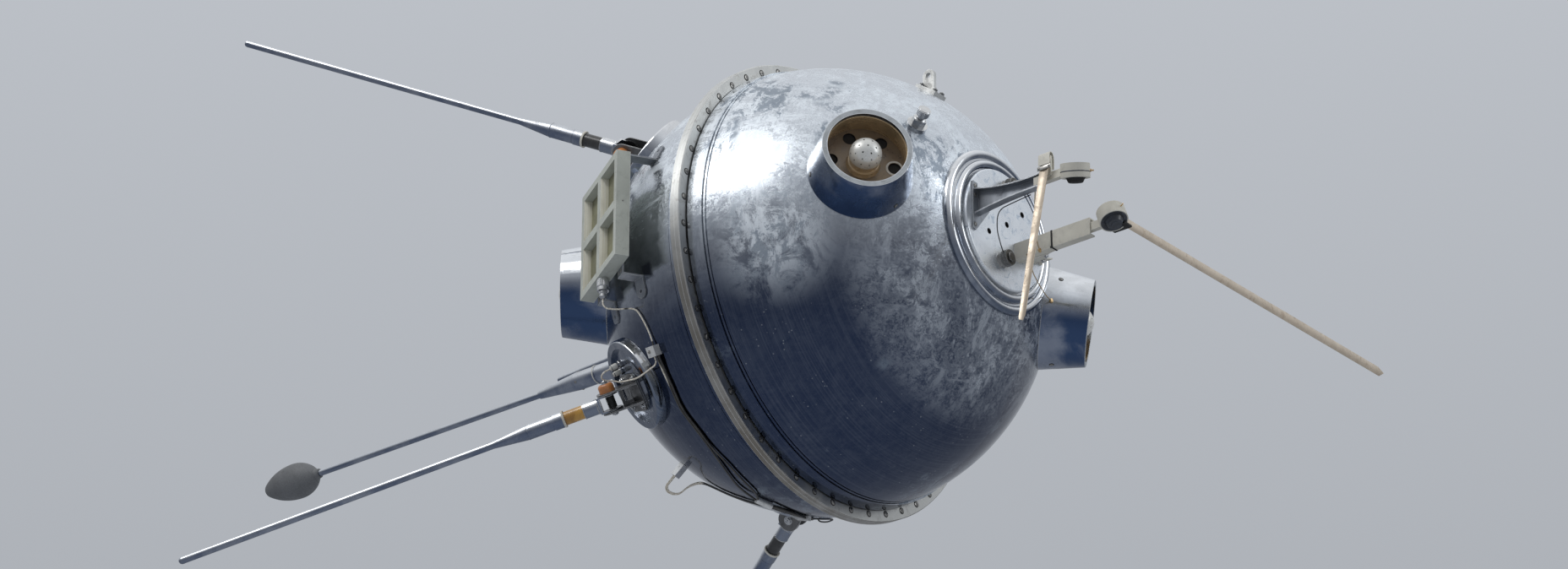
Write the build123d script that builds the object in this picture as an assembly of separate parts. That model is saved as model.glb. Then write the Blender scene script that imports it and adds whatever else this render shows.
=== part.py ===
from build123d import *
import math
import os

# Polished spherical space probe with ion traps, a magnetometer boom and sprung rod antennas.
# Origin at the centre of the sphere, +X along the axis to the crown, -X along the boom,
# +Z up as the probe hangs from its two lugs.  Millimetres and degrees.
# Places on the sphere are a polar angle from +X and a roll about X from +Y to +Z.

# Sphere and its two bolted flanges
SPHERE_R = 425.0
SEAT = 0.3
FLANGE_R = SPHERE_R + 25.0
FLANGE_BORE_R = SPHERE_R - 13.0
FLANGE_T = 10.6
FLANGE_GAP_W = 2.6
FLANGE_GAP_R = SPHERE_R - 9.0
FLANGE_EDGE = 1.5

# Bands turned on the hemispheres: distance of the outer end from the joint, height over the sphere
CROWN_BANDS = [
    (45.0, 3.0),
    (47.0, -2.0),
    (51.0, 1.0),
    (53.0, -2.0),
]
BOOM_BANDS = [
    (17.0, 3.0),
    (19.0, -1.5),
    (33.0, 1.8),
    (35.0, -1.5),
    (63.0, 1.0),
]

# Crown: polished double ring round a plate at the +X pole
CROWN_R = 159.0
CROWN_RING_TUBE_R = 9.0
CROWN_STEP_R = 130.0
CROWN_STEP_TUBE_R = 8.0
CROWN_STEP_RISE = 11.0
CROWN_PLATE_R = 119.0
CROWN_PLATE_T = 22.0
CROWN_PLATE_FILLET = 2.75
CROWN_HOLE_R = 5.0
CROWN_HOLE_DEPTH = 12.0
# y and z of the three blind holes in the plate
CROWN_HOLES = [(-48.0, -21.0), (8.0, 14.0), (57.0, 54.0)]
# y, z and radius of the knurled connectors on the plate
CROWN_SOCKETS = [(8.0, 92.0, 13.0), (-10.0, -66.0, 15.0)]
SOCKET_T = 20.0
SOCKET_NECK_T = 6.7
SOCKET_NECK_SHARE = 0.75

# Ion traps: polar angle, roll
TRAPS = {
    "crown_left": (43.5, 172.0),
    "crown_right": (36.4, -15.5),
    "boom_left": (141.5, 180.0),
    "boom_right": (141.5, 0.0),
}
TRAP_ROOT_RHO = SPHERE_R - 49.0
TRAP_FLOOR_RHO = SPHERE_R + 21.0
TRAP_RIM_RHO = SPHERE_R + 76.0
TRAP_ROOT_R = 104.0
TRAP_ROOT_BORE_R = 84.0
TRAP_RIM_R = 83.0
TRAP_MOUTH_R = 73.0
TRAP_PLATE_T = 6.0
TRAP_HOLE_CIRCLE_R = 58.0
TRAP_HOLE_R = 12.0
TRAP_HOLES = 6
TRAP_STUB_R = 27.0
TRAP_DOME_R = 30.0
TRAP_DOME_PROUD = 7.0
TRAP_DOME_SKIRT = 4.0
TRAP_PORE_R = 1.6
TRAP_PORE_DEPTH = 4.0
TRAP_PORE_CIRCLE_R = 15.5
TRAP_PORES = 6

# Charging valve: polar angle, roll
VALVE_AT = (34.7, 137.0)
VALVE_FLANGE_R = 20.0
VALVE_FLANGE_T = 7.0
VALVE_HEX_R = 14.0
VALVE_HEX_T = 12.0
VALVE_NECK_R = 7.0
VALVE_NECK_T = 9.0
VALVE_KNOB_R = 12.0
VALVE_KNOB_T = 13.0

# Lifting lugs: polar angle in the plane y = 0
LUGS = {"crown": 54.0, "boom": 119.5}
LUG_EYE_RISE = 38.0
LUG_EYE_R = 6.0
LUG_STRAP_W = 26.0
LUG_STRAP_T = 8.0
LUG_FOOT_L = 54.0
LUG_FOOT_W = 34.0
LUG_FOOT_T = 7.0

# Sensor panel of four recessed windows, upright and turned by its yaw
PANEL_AT = (115.3, 174.6)
PANEL_RHO = SPHERE_R + 35.4
PANEL_YAW = 31.0
PANEL_W = 207.0
PANEL_H = 216.0
PANEL_D = 27.0
PANEL_BORDER = 13.0
PANEL_MULLION = 16.0
PANEL_POCKET = 19.5
PANEL_CELL_T = 3.5
# Feet of the panel: x on its back, and +1 above its top edge or -1 below its bottom edge
PANEL_FEET = [(52.0, -1), (-67.0, -1), (52.0, 1), (-67.0, 1)]
PANEL_FOOT_W = 26.0
PANEL_FOOT_T = 3.0
PANEL_FOOT_TAB = 17.0
PANEL_EAR_L = 24.0
PANEL_EAR_HOLE_R = 3.5
PANEL_PLUG_AT = (-3.0, 1.0)
PANEL_PLUG_R = 11.0
PANEL_PLUG_L = 25.0
PANEL_GLAND_R = 6.5
PANEL_GLAND_L = 12.0

# Magnetometer boom on the -X pole
BOOM_POLE_FLAT_R = 1.0
BOOM_FLANGE_R = 58.0
BOOM_FLANGE_T = 10.0
BOOM_SOCKET_R = 27.0
BOOM_SOCKET_L = 40.0
BOOM_SOCKET_FLOOR = SPHERE_R + 2.0
BOOM_TUBE_R = 18.0
BOOM_TUBE_END = SPHERE_R + 200.0
BOOM_COLLAR_AT = SPHERE_R + 149.0
BOOM_COLLAR_W = 6.0
BOOM_COLLAR_RISE = 1.0
BOOM_TAPER_END = SPHERE_R + 300.0
BOOM_TAPER_STEP = 2.0
BOOM_ROD_R = 6.5
BOOM_ROD_END = SPHERE_R + 916.0
HEAD_L = 142.0
HEAD_R = 37.0
HEAD_BIG_SHARE = 0.38
HEAD_NECK_R = 10.5
HEAD_NOSE_L = 9.0
HEAD_NOSE_R = 15.0
HEAD_TIP_R = 1.0
HEAD_NOSE_BACK = 0.35
HEAD_NOSE_FULL = 0.65

# Rod antennas: roll of the port, roll of the hinge, splay of the rod from the boom's direction,
# its lean along the pin, and the side of the pin's insulated end
ANTENNAS = {
    "a": (132.5, 132.5, 34.0, 1.2, 1),
    "b": (218.7, 220.5, 31.2, -3.5, -1),
    "c": (308.7, 308.7, 32.8, 0.0, 1),
    "d": (38.7, 38.7, 13.1, -3.3, -1),
}
PORT_POLAR = 123.1
PORT_R = 89.0
PORT_BORE_R = 74.0
PORT_RIM_RHO = SPHERE_R + 10.0
PORT_RIM_FILLET = 3.5
PORT_FLOOR_RHO = SPHERE_R + 2.0
PORT_BOSS_R = 54.0
PORT_BOSS_RHO = SPHERE_R + 6.0
PORT_ROOT_RHO = SPHERE_R - 34.0
PIVOT_SHIFT = -20.1
PIVOT_RISE = 53.0
PIN_R = 4.0
PIN_FIT = 0.1
CHEEK_GAP = 34.0
CHEEK_T = 3.0
CHEEK_R = 22.0
BRACKET_SPLAY = 33.0
BRACKET_L = 110.0
BRACKET_WEB_START = 18.0
BRACKET_WINDOW = (25.0, 37.0)
BRACKET_WINDOW_W = 22.0
FOOT_L = 74.0
FOOT_W = 74.0
FOOT_T = 4.0
FOOT_SHIFT = -12.0
FOOT_CORNER_R = 14.0
SPRING_R = 6.5
SPRING_BORE_R = 4.5
SPRING_L = 24.0
YOKE_R = 17.0
YOKE_GAP = 26.0
YOKE_T = 3.0
YOKE_H = 30.0
YOKE_END = 24.0
YOKE_END_T = 4.0
COLLAR_R = 14.5
COLLAR_END = 54.0
INSULATOR_R = 13.0
INSULATOR_END = 94.0
CUP_R = 15.5
CUP_END = 114.0
CUP_GROOVE_R = 14.0
CUP_GROOVE_W = 1.5
ROD_BODY_R = 14.5
ROD_SHOULDER = 165.0
ROD_TAPER_END = 235.0
ROD_R = 6.8
ROD_END = 863.0
PIN_CAP_R = 15.0
PIN_CAP_T = 16.0
PIN_CAP_FILLET = 7.0
# Plugs on each port: distance towards +X and towards the insulated end, radius, top over the sphere
PORT_PLUGS = [(1.0, 56.5, 5.0, 28.0), (-8.0, 42.5, 4.5, 24.0)]

# Ribbon antennas on the crown; x is counted from the crown plate's face
ARM_W = 16.0
ARM_T = 2.5
ARM_FOOT_T = 4.0
ARM_BEND_SHARE = 0.4
ARM_BULGE_SHARE = 0.25
ARM_1_ROOT = (-89.0, 17.0)
ARM_1_L = 150.0
ARM_1_ROOT_LOW = 23.0
ARM_1_ROOT_HIGH = 32.0
ARM_1_TIP_H = 26.0
# Outline of the first arm's foot: y and z from its root
ARM_1_FOOT = [(-12.0, 44.0), (3.0, 44.0), (3.0, 13.0), (39.0, -1.0), (-3.0, -54.0), (-12.0, -52.0)]
ARM_2_ROOT = (37.0, -34.0)
ARM_2_L = 170.0
ARM_2_H = 34.0
ARM_2_BLOCK_L = 20.0
# Gusset of the second arm: x and distance from the arm along the gusset, which rises at its slope
ARM_2_GUSSET = [(78.0, 0.0), (42.0, 27.0), (28.0, 72.0)]
ARM_2_GUSSET_SLOPE = 21.2
ARM_2_FOOT = (24.0, 9.0)
REEL_R = 27.0
REEL_H = 26.0
REEL_HUB_R = 13.0
REEL_HUB_H = 8.0
REEL_HUB_STEP = 4.0
REEL_1_AT = (223.9, -89.0, 12.0)
REEL_1_AXIS = (0.2, -0.3, 0.93)
REEL_2_AT = (214.9, 37.0, -26.0)
REEL_2_AXIS = (0.35, -0.1, -0.93)
REEL_BAR_GRIP = 15.0
REEL_BAR_H = 16.0
GUIDE_T = 5.0
GUIDE_RISE = 2.0
MOUTH_T = 8.0
MOUTH_MARGIN = 2.0
TAPE_W = 20.0
TAPE_T = 1.2
TAPE_1_L = 372.0
TAPE_2_L = 880.0
TAPE_1_START = (165.9, -98.0, 55.0)
TAPE_1_ALONG = (0.0, -0.24, -0.97)
TAPE_2_START = (217.9, 74.0, -24.0)
TAPE_2_ALONG = (0.0, 1.0, 0.02)

# Cables along the sphere and what holds them: polar angle, roll; length, width and height
CLAMP_AT = (107.2, -148.6)
CLAMP_SIZE = (24.0, 20.0, 14.0)
CLIP_AT = (106.4, -78.6)
CLIP_SIZE = (26.0, 8.0, 9.0)
BLOCK_AT = (116.2, -67.8)
BLOCK_SIZE = (20.0, 20.0, 12.0)
BLOCK_TURN = 33.0
LIMB_PLUG_AT = (129.1, -107.1)
LIMB_PLUG_SIZE = (16.0, 12.0, 27.0)
HOLDER_ROOT = 2.0
SLEEVE_AT = [(107.6, -97.0), (106.2, -92.5)]
SLEEVE_R = 6.0
SLEEVE_RHO = SPHERE_R + 6.7
CORD_LIFT = 1.5
CORD_SHARE = 0.45
CABLE_D = 4.0
TRUNK_D = 5.0
LEAD_D = 3.0
CROWN_LEAD_D = 2.0
# Routes on the sphere: polar angle, roll
CABLE_1_RUN = [
    (107.1, -142.6), (106.9, -138.6), (107.6, -132.0), (106.2, -125.0), (106.0, -118.0),
    (107.1, -110.9), (108.7, -104.2), (108.9, -100.4),
]
CABLE_2_RUN = [
    (106.3, -142.6), (106.15, -138.6), (106.85, -132.0), (105.5, -125.0), (105.2, -118.8),
    (104.3, -113.2), (104.6, -108.1), (104.9, -103.6), (105.3, -100.6), (106.2, -98.6),
]
TRUNK_RUN = [(105.3, -89.4), (105.1, -84.6), (105.8, -78.2), (107.9, -72.6), (111.7, -68.4)]
LIMB_1_RUN = [
    (122.8, -97.5), (119.0, -95.2), (115.0, -93.2), (111.0, -91.6), (107.9, -89.2),
    (106.7, -84.5), (107.4, -78.8), (109.3, -73.9), (112.8, -70.2),
]
LIMB_2_RUN = [
    (122.6, -98.6), (118.8, -96.2), (114.6, -94.2), (110.4, -92.5), (107.2, -89.9),
    (105.9, -84.6), (106.6, -78.4), (108.6, -73.2), (112.3, -69.3),
]
# Loops of the two limb leads above their plug: polar angle, roll, height over the sphere
LIMB_1_LOOP = [
    (129.1, -107.6, 21.0), (129.4, -107.0, 61.0), (127.4, -103.6, 55.0), (126.9, -102.6, 25.0),
    (125.6, -100.4, 6.0),
]
LIMB_2_LOOP = [
    (128.3, -107.7, 21.0), (128.5, -107.5, 59.0), (126.5, -104.3, 53.0), (126.0, -103.4, 24.0),
    (125.1, -101.6, 6.0),
]
# Panel's lead: polar angle, roll, height over the sphere
PANEL_LEAD_FALL = [(114.0, -161.9, 27.0), (112.6, -161.6, 6.0)]
PANEL_LEAD_RUN = [(110.4, -160.6), (108.9, -158.3), (107.6, -154.8), (107.1, -151.6)]
# Port lead: x, y and height in the plane of its port, then its place on the sphere
PORT_LEAD_LOOP = [
    (-19.0, 44.0, 22.0), (-20.0, 43.0, 48.0), (-36.0, 30.0, 48.0), (-33.0, 17.0, 24.0),
    (-12.0, 15.0, 26.0), (14.0, 14.0, 22.0), (56.0, 14.0, 17.0), (92.0, 20.0, 13.0),
]
PORT_LEAD_RUN = [(108.2, -145.3)]
# Hinge wire: x, y and height in the plane of its port, then its places on the sphere
HINGE_WIRE_LOOP = [
    (-20.1, -39.0, 53.0), (2.0, -38.5, 50.0), (20.0, -20.0, 42.0), (38.0, 12.0, 33.0),
    (61.2, 47.9, 19.0), (95.4, 83.4, -4.0),
]
HINGE_WIRE_RUN = [(104.5, -68.0), (105.0, -74.0), (105.15, -78.4)]
# Where cords sit in the clamp and the block: x, y and height in the holder's plane
CABLE_1_SEAT = [(1.5, -6.0, 5.0), (1.5, -22.0, 4.0)]
CABLE_2_SEAT = [(7.5, -6.0, 5.0), (7.5, -22.0, 4.0)]
PANEL_LEAD_SEAT = [(1.0, 4.0, 5.0)]
PORT_LEAD_SEAT = [(-7.0, -4.0, 5.0)]
TRUNK_SEAT = [(4.0, -6.0, 5.0)]
LIMB_1_SEAT = [(4.0, 6.0, 5.0)]
LIMB_2_SEAT = [(4.0, 0.0, 5.0)]
# Distance of the two cables from the sleeve's axis, and how far cords reach into sleeve and gland
SLEEVE_SPREAD = 2.6
SLEEVE_REACH = 3.0
TRUNK_REACH = 6.0
GLAND_REACH = 5.0
PANEL_LEAD_DROP = 23.0
# Leads on the crown: x from the crown plate's face, y, z
CROWN_LEADS = [
    [
        (118.0, -79.8, 2.2), (80.0, -79.8, -1.0), (44.0, -79.8, -5.0), (30.0, -66.0, -34.0),
        (18.0, -36.0, -54.0), (14.1, -24.4, -60.2),
    ],
    [(128.0, -80.0, 5.0), (100.0, -44.0, -11.0), (67.0, 3.0, -17.0), (64.0, 14.0, -45.0), (58.5, 28.3, -49.4)],
    [
        (30.0, 25.8, -48.5), (32.0, 35.0, -62.0), (26.0, 50.0, -77.0), (20.0, 72.0, -84.0),
        (12.0, 97.0, -88.0), (-3.0, 133.0, -84.0), (-16.0, 165.0, -76.0),
    ],
]


X_TO_Z = Plane(origin=(0, 0, 0), x_dir=(0, 1, 0), z_dir=(1, 0, 0))


def spot(polar, roll, rho):
    """Point at distance rho from the centre of the sphere."""
    p = math.radians(polar)
    r = math.radians(roll)
    return Vector(math.cos(p), math.sin(p) * math.cos(r), math.sin(p) * math.sin(r)) * rho


def outward(polar, roll, rho):
    """Plane square to the radius, its x axis along the meridian towards +X."""
    p = math.radians(polar)
    r = math.radians(roll)
    meridian = Vector(math.sin(p), -math.cos(p) * math.cos(r), -math.cos(p) * math.sin(r))
    return Plane(origin=spot(polar, roll, rho), x_dir=meridian, z_dir=spot(polar, roll, 1.0))


def disc(radius, low, high):
    """Cylinder along the local z axis from low to high."""
    return Pos(0, 0, low) * Cylinder(radius, high - low, align=(Align.CENTER, Align.CENTER, Align.MIN))


def cone(low_radius, high_radius, low, high):
    """Truncated cone along the local z axis from low to high."""
    return Pos(0, 0, low) * Cone(
        low_radius, high_radius, high - low, align=(Align.CENTER, Align.CENTER, Align.MIN)
    )


def cross_disc(radius, width):
    """Cylinder along the local y axis, middle at the origin."""
    return Rot(90, 0, 0) * Cylinder(radius, width)


def span(x, y, z):
    """Box between a lowest and a highest value on each local axis."""
    box = Box(x[1] - x[0], y[1] - y[0], z[1] - z[0])
    return Pos((x[0] + x[1]) / 2, (y[0] + y[1]) / 2, (z[0] + z[1]) / 2) * box


def ball(radius=SPHERE_R + SEAT):
    """Sphere that trims feet and flanges to their seat."""
    return Sphere(radius)


def below(rho):
    """Block under a level of a plane that is square to the radius."""
    return Pos(0, 0, rho - SPHERE_R / 2) * Box(SPHERE_R, SPHERE_R, SPHERE_R)


def ground(distance):
    """Height of the sphere at a distance from the axis of a flat that is square to it."""
    return math.sqrt(SPHERE_R**2 - distance**2)


def spin(sketch):
    """Turned solid about the X axis, from a sketch of x and radius."""
    return revolve(Plane.XY * sketch, axis=Axis.X, revolution_arc=360)


def band_profile(bands):
    """Stepped outline of one hemisphere from its joint face towards the pole."""
    start = FLANGE_T + FLANGE_GAP_W
    points = [(0.0, 0.0), (0.0, FLANGE_BORE_R - SEAT), (FLANGE_T, FLANGE_BORE_R - SEAT)]
    points += [(FLANGE_T, FLANGE_GAP_R), (start, FLANGE_GAP_R)]
    for end, rise in bands:
        radius = SPHERE_R + rise
        points.append((start, math.sqrt(radius**2 - start**2)))
        points.append((end, math.sqrt(radius**2 - end**2)))
        start = end
    return points, start


def hemisphere(bands, pole_radius):
    """Half of the sphere with its turned bands and a flat of pole_radius at the pole."""
    points, start = band_profile(bands)
    flat = ground(pole_radius)
    middle = math.radians(45.0)
    arc_start = (start, ground(start))
    edge = Polyline(*points, arc_start)
    arc_middle = (SPHERE_R * math.sin(middle), SPHERE_R * math.cos(middle))
    arc = ThreePointArc(arc_start, arc_middle, (flat, pole_radius))
    close = Polyline((flat, pole_radius), (flat, 0.0), (0.0, 0.0))
    return spin(make_face(edge + arc + close))


def mirror_x(shape):
    """The same shape on the boom side."""
    return mirror(shape, about=Plane.YZ)


def flange():
    """One of the two bolted rings round the joint of the hemispheres."""
    ring = disc(FLANGE_R, 0, FLANGE_T) - disc(FLANGE_BORE_R, 0, FLANGE_T)
    rim = ring.edges().filter_by(GeomType.CIRCLE).group_by(SortBy.RADIUS)[-1].sort_by(Axis.Z)[-1]
    return X_TO_Z * chamfer(rim, FLANGE_EDGE)


def crown_flat():
    """Distance from the centre to the flat that the crown sits on."""
    return ground(CROWN_R)


def crown_face():
    """Distance from the centre to the crown plate's face."""
    return crown_flat() + CROWN_PLATE_T


def crown_ring():
    """Polished double ring round the plate."""
    base = crown_flat()
    outer_at = CROWN_R - CROWN_RING_TUBE_R
    band = Pos(base + CROWN_RING_TUBE_R / 2, (CROWN_PLATE_R + outer_at) / 2) * Rectangle(
        CROWN_RING_TUBE_R, outer_at - CROWN_PLATE_R
    )
    outer = Pos(base + CROWN_RING_TUBE_R / 2, outer_at) * Circle(CROWN_RING_TUBE_R)
    step = Pos(base + CROWN_STEP_RISE / 2, CROWN_STEP_R) * Rectangle(
        CROWN_STEP_RISE, 2 * CROWN_STEP_TUBE_R
    )
    top = Pos(base + CROWN_STEP_RISE, CROWN_STEP_R) * Circle(CROWN_STEP_TUBE_R)
    under = Pos(base - CROWN_RING_TUBE_R, outer_at) * Rectangle(2 * CROWN_RING_TUBE_R, 4 * CROWN_R)
    return spin(band + outer + step + top - under)


def crown_plate():
    """Plate at the pole with three blind holes."""
    face = crown_face()
    plate = disc(CROWN_PLATE_R - SEAT, crown_flat(), face)
    rim = plate.edges().filter_by(GeomType.CIRCLE).sort_by(Axis.Z)[-1]
    plate = fillet(rim, CROWN_PLATE_FILLET)
    for y, z in CROWN_HOLES:
        plate -= Pos(y, z, 0) * disc(CROWN_HOLE_R, face - CROWN_HOLE_DEPTH, face)
    return X_TO_Z * plate


def crown_socket(y, z, radius):
    """Round connector with a narrower neck."""
    face = crown_face()
    neck = disc(radius * SOCKET_NECK_SHARE, face, face + SOCKET_NECK_T)
    grip = disc(radius, face + SOCKET_NECK_T, face + SOCKET_T)
    return X_TO_Z * (Pos(y, z, 0) * (neck + grip))


def trap_bore(rho):
    """Radius of the bore of a trap's cone at a level."""
    share = (TRAP_RIM_RHO - rho) / (TRAP_RIM_RHO - TRAP_ROOT_RHO)
    return TRAP_MOUTH_R + (TRAP_ROOT_BORE_R - TRAP_MOUTH_R) * share


def trap_shroud(polar, roll):
    """Polished open cone with a flat rim."""
    outer = cone(TRAP_ROOT_R, TRAP_RIM_R, TRAP_ROOT_RHO, TRAP_RIM_RHO) - ball()
    inner = cone(TRAP_ROOT_BORE_R, TRAP_MOUTH_R, TRAP_ROOT_RHO, TRAP_RIM_RHO)
    return outward(polar, roll, 0) * (outer - inner)


def trap_plate(polar, roll):
    """Dark floor inside the cone, with a ring of round holes."""
    low = TRAP_FLOOR_RHO - TRAP_PLATE_T
    floor = cone(trap_bore(low) - SEAT, trap_bore(TRAP_FLOOR_RHO) - SEAT, low, TRAP_FLOOR_RHO)
    for k in range(TRAP_HOLES):
        place = Rot(0, 0, 360 * k / TRAP_HOLES) * Pos(TRAP_HOLE_CIRCLE_R, 0, 0)
        floor -= place * disc(TRAP_HOLE_R, low, TRAP_FLOOR_RHO)
    stand = disc(TRAP_STUB_R, SPHERE_R + SEAT, low)
    return outward(polar, roll, 0) * (floor + stand)


def trap_electrode(polar, roll):
    """Perforated dome on its stub, a little proud of the rim."""
    centre = TRAP_RIM_RHO + TRAP_DOME_PROUD - TRAP_DOME_R
    dome = Pos(0, 0, centre) * Sphere(TRAP_DOME_R) - disc(2 * TRAP_DOME_R, 0, centre)
    body = dome + disc(TRAP_DOME_R, centre - TRAP_DOME_SKIRT, centre)
    body += disc(TRAP_STUB_R, TRAP_FLOOR_RHO, centre - TRAP_DOME_SKIRT)
    rows = [(0.0, 1), (TRAP_PORE_CIRCLE_R, TRAP_PORES)]
    for radius, count in rows:
        surface = centre + math.sqrt(TRAP_DOME_R**2 - radius**2)
        pore = disc(TRAP_PORE_R, surface - TRAP_PORE_DEPTH, centre + TRAP_DOME_R)
        for k in range(count):
            body -= Rot(0, 0, 360 * k / count) * Pos(radius, 0, 0) * pore
    return outward(polar, roll, 0) * body


def hexagon(radius, low, high):
    """Hexagonal prism along the local z axis."""
    return Pos(0, 0, low) * extrude(RegularPolygon(radius, 6), high - low)


def valve():
    """Charging valve: round flange, hexagon, neck and knob."""
    level = SPHERE_R + VALVE_FLANGE_T
    body = disc(VALVE_FLANGE_R, ground(VALVE_FLANGE_R), level)
    body += hexagon(VALVE_HEX_R, level, level + VALVE_HEX_T)
    level += VALVE_HEX_T
    body += disc(VALVE_NECK_R, level, level + VALVE_NECK_T)
    level += VALVE_NECK_T
    body += disc(VALVE_KNOB_R, level, level + VALVE_KNOB_T)
    return outward(*VALVE_AT, 0) * body - ball()


def lug_eye(polar):
    """Middle of a lug's eye."""
    p = math.radians(polar)
    return Vector(SPHERE_R * math.cos(p), 0, SPHERE_R * math.sin(p) + LUG_EYE_RISE)


def lug(polar):
    """Lifting lug: a strap with an eye across it, on a foot bent to the sphere."""
    at = lug_eye(polar)
    strap = Pos(at.X, 0, at.Z - LUG_EYE_RISE) * Box(LUG_STRAP_W, LUG_STRAP_T, 2 * LUG_EYE_RISE)
    head = Pos(at.X, 0, at.Z) * cross_disc(LUG_STRAP_W / 2, LUG_STRAP_T)
    eye = Pos(at.X, 0, at.Z) * cross_disc(LUG_EYE_R, 2 * LUG_STRAP_T)
    foot = outward(polar, 90, SPHERE_R) * Box(LUG_FOOT_L, LUG_FOOT_W, 2 * LUG_FOOT_T)
    return strap + head + foot - eye - ball()


def panel_plane():
    """Plane of the sensor panel's middle: x to its +X edge, y up, z outwards."""
    yaw = math.radians(PANEL_YAW)
    return Plane(
        origin=spot(*PANEL_AT, PANEL_RHO),
        x_dir=(math.cos(yaw), -math.sin(yaw), 0),
        z_dir=(-math.sin(yaw), -math.cos(yaw), 0),
    )


def panel_windows():
    """Middle and size of the four windows in the panel's plane."""
    w = (PANEL_W - 2 * PANEL_BORDER - PANEL_MULLION) / 2
    h = (PANEL_H - 2 * PANEL_BORDER - PANEL_MULLION) / 2
    middles = []
    for sx in (-1, 1):
        for sy in (-1, 1):
            middles.append((sx * (w + PANEL_MULLION) / 2, sy * (h + PANEL_MULLION) / 2))
    return middles, w, h


def panel_frame():
    """Frame box of the panel with its four recessed windows."""
    frame = Box(PANEL_W, PANEL_H, PANEL_D)
    middles, w, h = panel_windows()
    for x, y in middles:
        frame -= Pos(x, y, (PANEL_D - PANEL_POCKET) / 2) * Box(w, h, PANEL_POCKET)
    return panel_plane() * frame


def panel_cells():
    """Flat cells on the floors of the windows."""
    middles, w, h = panel_windows()
    level = PANEL_D / 2 - PANEL_POCKET + PANEL_CELL_T / 2
    cell = Box(w - 2 * SEAT, h - 2 * SEAT, PANEL_CELL_T)
    return [panel_plane() * (Pos(x, y, level) * cell) for x, y in middles]


def behind_panel(x, y):
    """Point of the sphere straight behind a place on the panel."""
    start = panel_plane().from_local_coords(Vector(x, y, 0))
    normal = panel_plane().z_dir
    lift = start.dot(normal)
    return start - normal * (lift - math.sqrt(lift**2 - start.dot(start) + SPHERE_R**2))


def panel_foot(x, side):
    """Bent bracket: a tab on the panel's back, a shelf to the sphere and an ear on the sphere."""
    half = PANEL_FOOT_W / 2
    back = -PANEL_D / 2
    reach = PANEL_H / 2 + PANEL_FOOT_TAB
    tab = Pos(x, side * PANEL_H / 2, back - PANEL_FOOT_T / 2) * Box(
        PANEL_FOOT_W, 2 * PANEL_FOOT_TAB, PANEL_FOOT_T
    )
    shelf = span(
        (x - half, x + half),
        sorted((side * reach, side * (reach - PANEL_FOOT_T))),
        (back - PANEL_W, back),
    )
    at = behind_panel(x, side * (reach + PANEL_EAR_L / 2))
    up = Vector(0, 0, side)
    ear = Box(PANEL_FOOT_W, PANEL_EAR_L + PANEL_FOOT_T, 2 * PANEL_FOOT_T)
    ear += Pos(0, PANEL_EAR_L / 2, 0) * disc(half, -PANEL_FOOT_T, PANEL_FOOT_T)
    ear -= Pos(0, PANEL_EAR_L / 2, 0) * disc(PANEL_EAR_HOLE_R, -PANEL_D, PANEL_D)
    ear = Plane(origin=at, x_dir=up.cross(at), z_dir=at) * ear
    return panel_plane() * (tab + shelf) + ear - ball()


def boom_base():
    """Flange on the -X pole and the socket of the boom."""
    high = SPHERE_R + BOOM_FLANGE_T
    body = disc(BOOM_FLANGE_R, ground(BOOM_FLANGE_R), high)
    body += disc(BOOM_SOCKET_R, high, high + BOOM_SOCKET_L)
    body -= disc(BOOM_TUBE_R + SEAT, BOOM_SOCKET_FLOOR, high + BOOM_SOCKET_L)
    return mirror_x(X_TO_Z * body - ball())


def boom_tube():
    """Thick tube of the boom with its joint collar and its taper."""
    body = disc(BOOM_TUBE_R, BOOM_SOCKET_FLOOR + SEAT, BOOM_TUBE_END)
    half = BOOM_COLLAR_W / 2
    body += disc(BOOM_TUBE_R + BOOM_COLLAR_RISE, BOOM_COLLAR_AT - half, BOOM_COLLAR_AT + half)
    body += cone(BOOM_TUBE_R, BOOM_ROD_R + BOOM_TAPER_STEP, BOOM_TUBE_END, BOOM_TAPER_END)
    return mirror_x(X_TO_Z * body)


def boom_rod():
    """Thin outer tube of the boom."""
    return mirror_x(X_TO_Z * disc(BOOM_ROD_R, BOOM_TAPER_END, BOOM_ROD_END))


def tangent_arc_mid(level_end, other_end):
    """Middle of the arc that is level at level_end and passes through other_end."""
    run = other_end[0] - level_end[0]
    drop = level_end[1] - other_end[1]
    radius = (run**2 + drop**2) / (2 * drop)
    half = math.asin(run / radius) / 2
    return level_end[0] + radius * math.sin(half), level_end[1] - radius * (1 - math.cos(half))


def magnetometer_head():
    """Egg-shaped housing, its big end inboard."""
    back = (BOOM_ROD_END, HEAD_NECK_R)
    widest = (BOOM_ROD_END + HEAD_L * HEAD_BIG_SHARE, HEAD_R)
    nose = (BOOM_ROD_END + HEAD_L - HEAD_NOSE_L, HEAD_NOSE_R)
    tip = (BOOM_ROD_END + HEAD_L, HEAD_TIP_R)
    rise = ThreePointArc(back, tangent_arc_mid(widest, back), widest)
    fall = ThreePointArc(widest, tangent_arc_mid(widest, nose), nose)
    cap = ThreePointArc(nose, (tip[0] - HEAD_NOSE_BACK * HEAD_NOSE_L, HEAD_NOSE_FULL * HEAD_NOSE_R), tip)
    close = Polyline(tip, (tip[0], 0), (BOOM_ROD_END, 0), back)
    return mirror_x(spin(make_face(rise + fall + cap + close)))


def pivot(roll):
    """Middle of an antenna's hinge pin."""
    plane = outward(PORT_POLAR, roll, SPHERE_R + PIVOT_RISE)
    return plane.from_local_coords(Vector(PIVOT_SHIFT, 0, 0))


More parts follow.
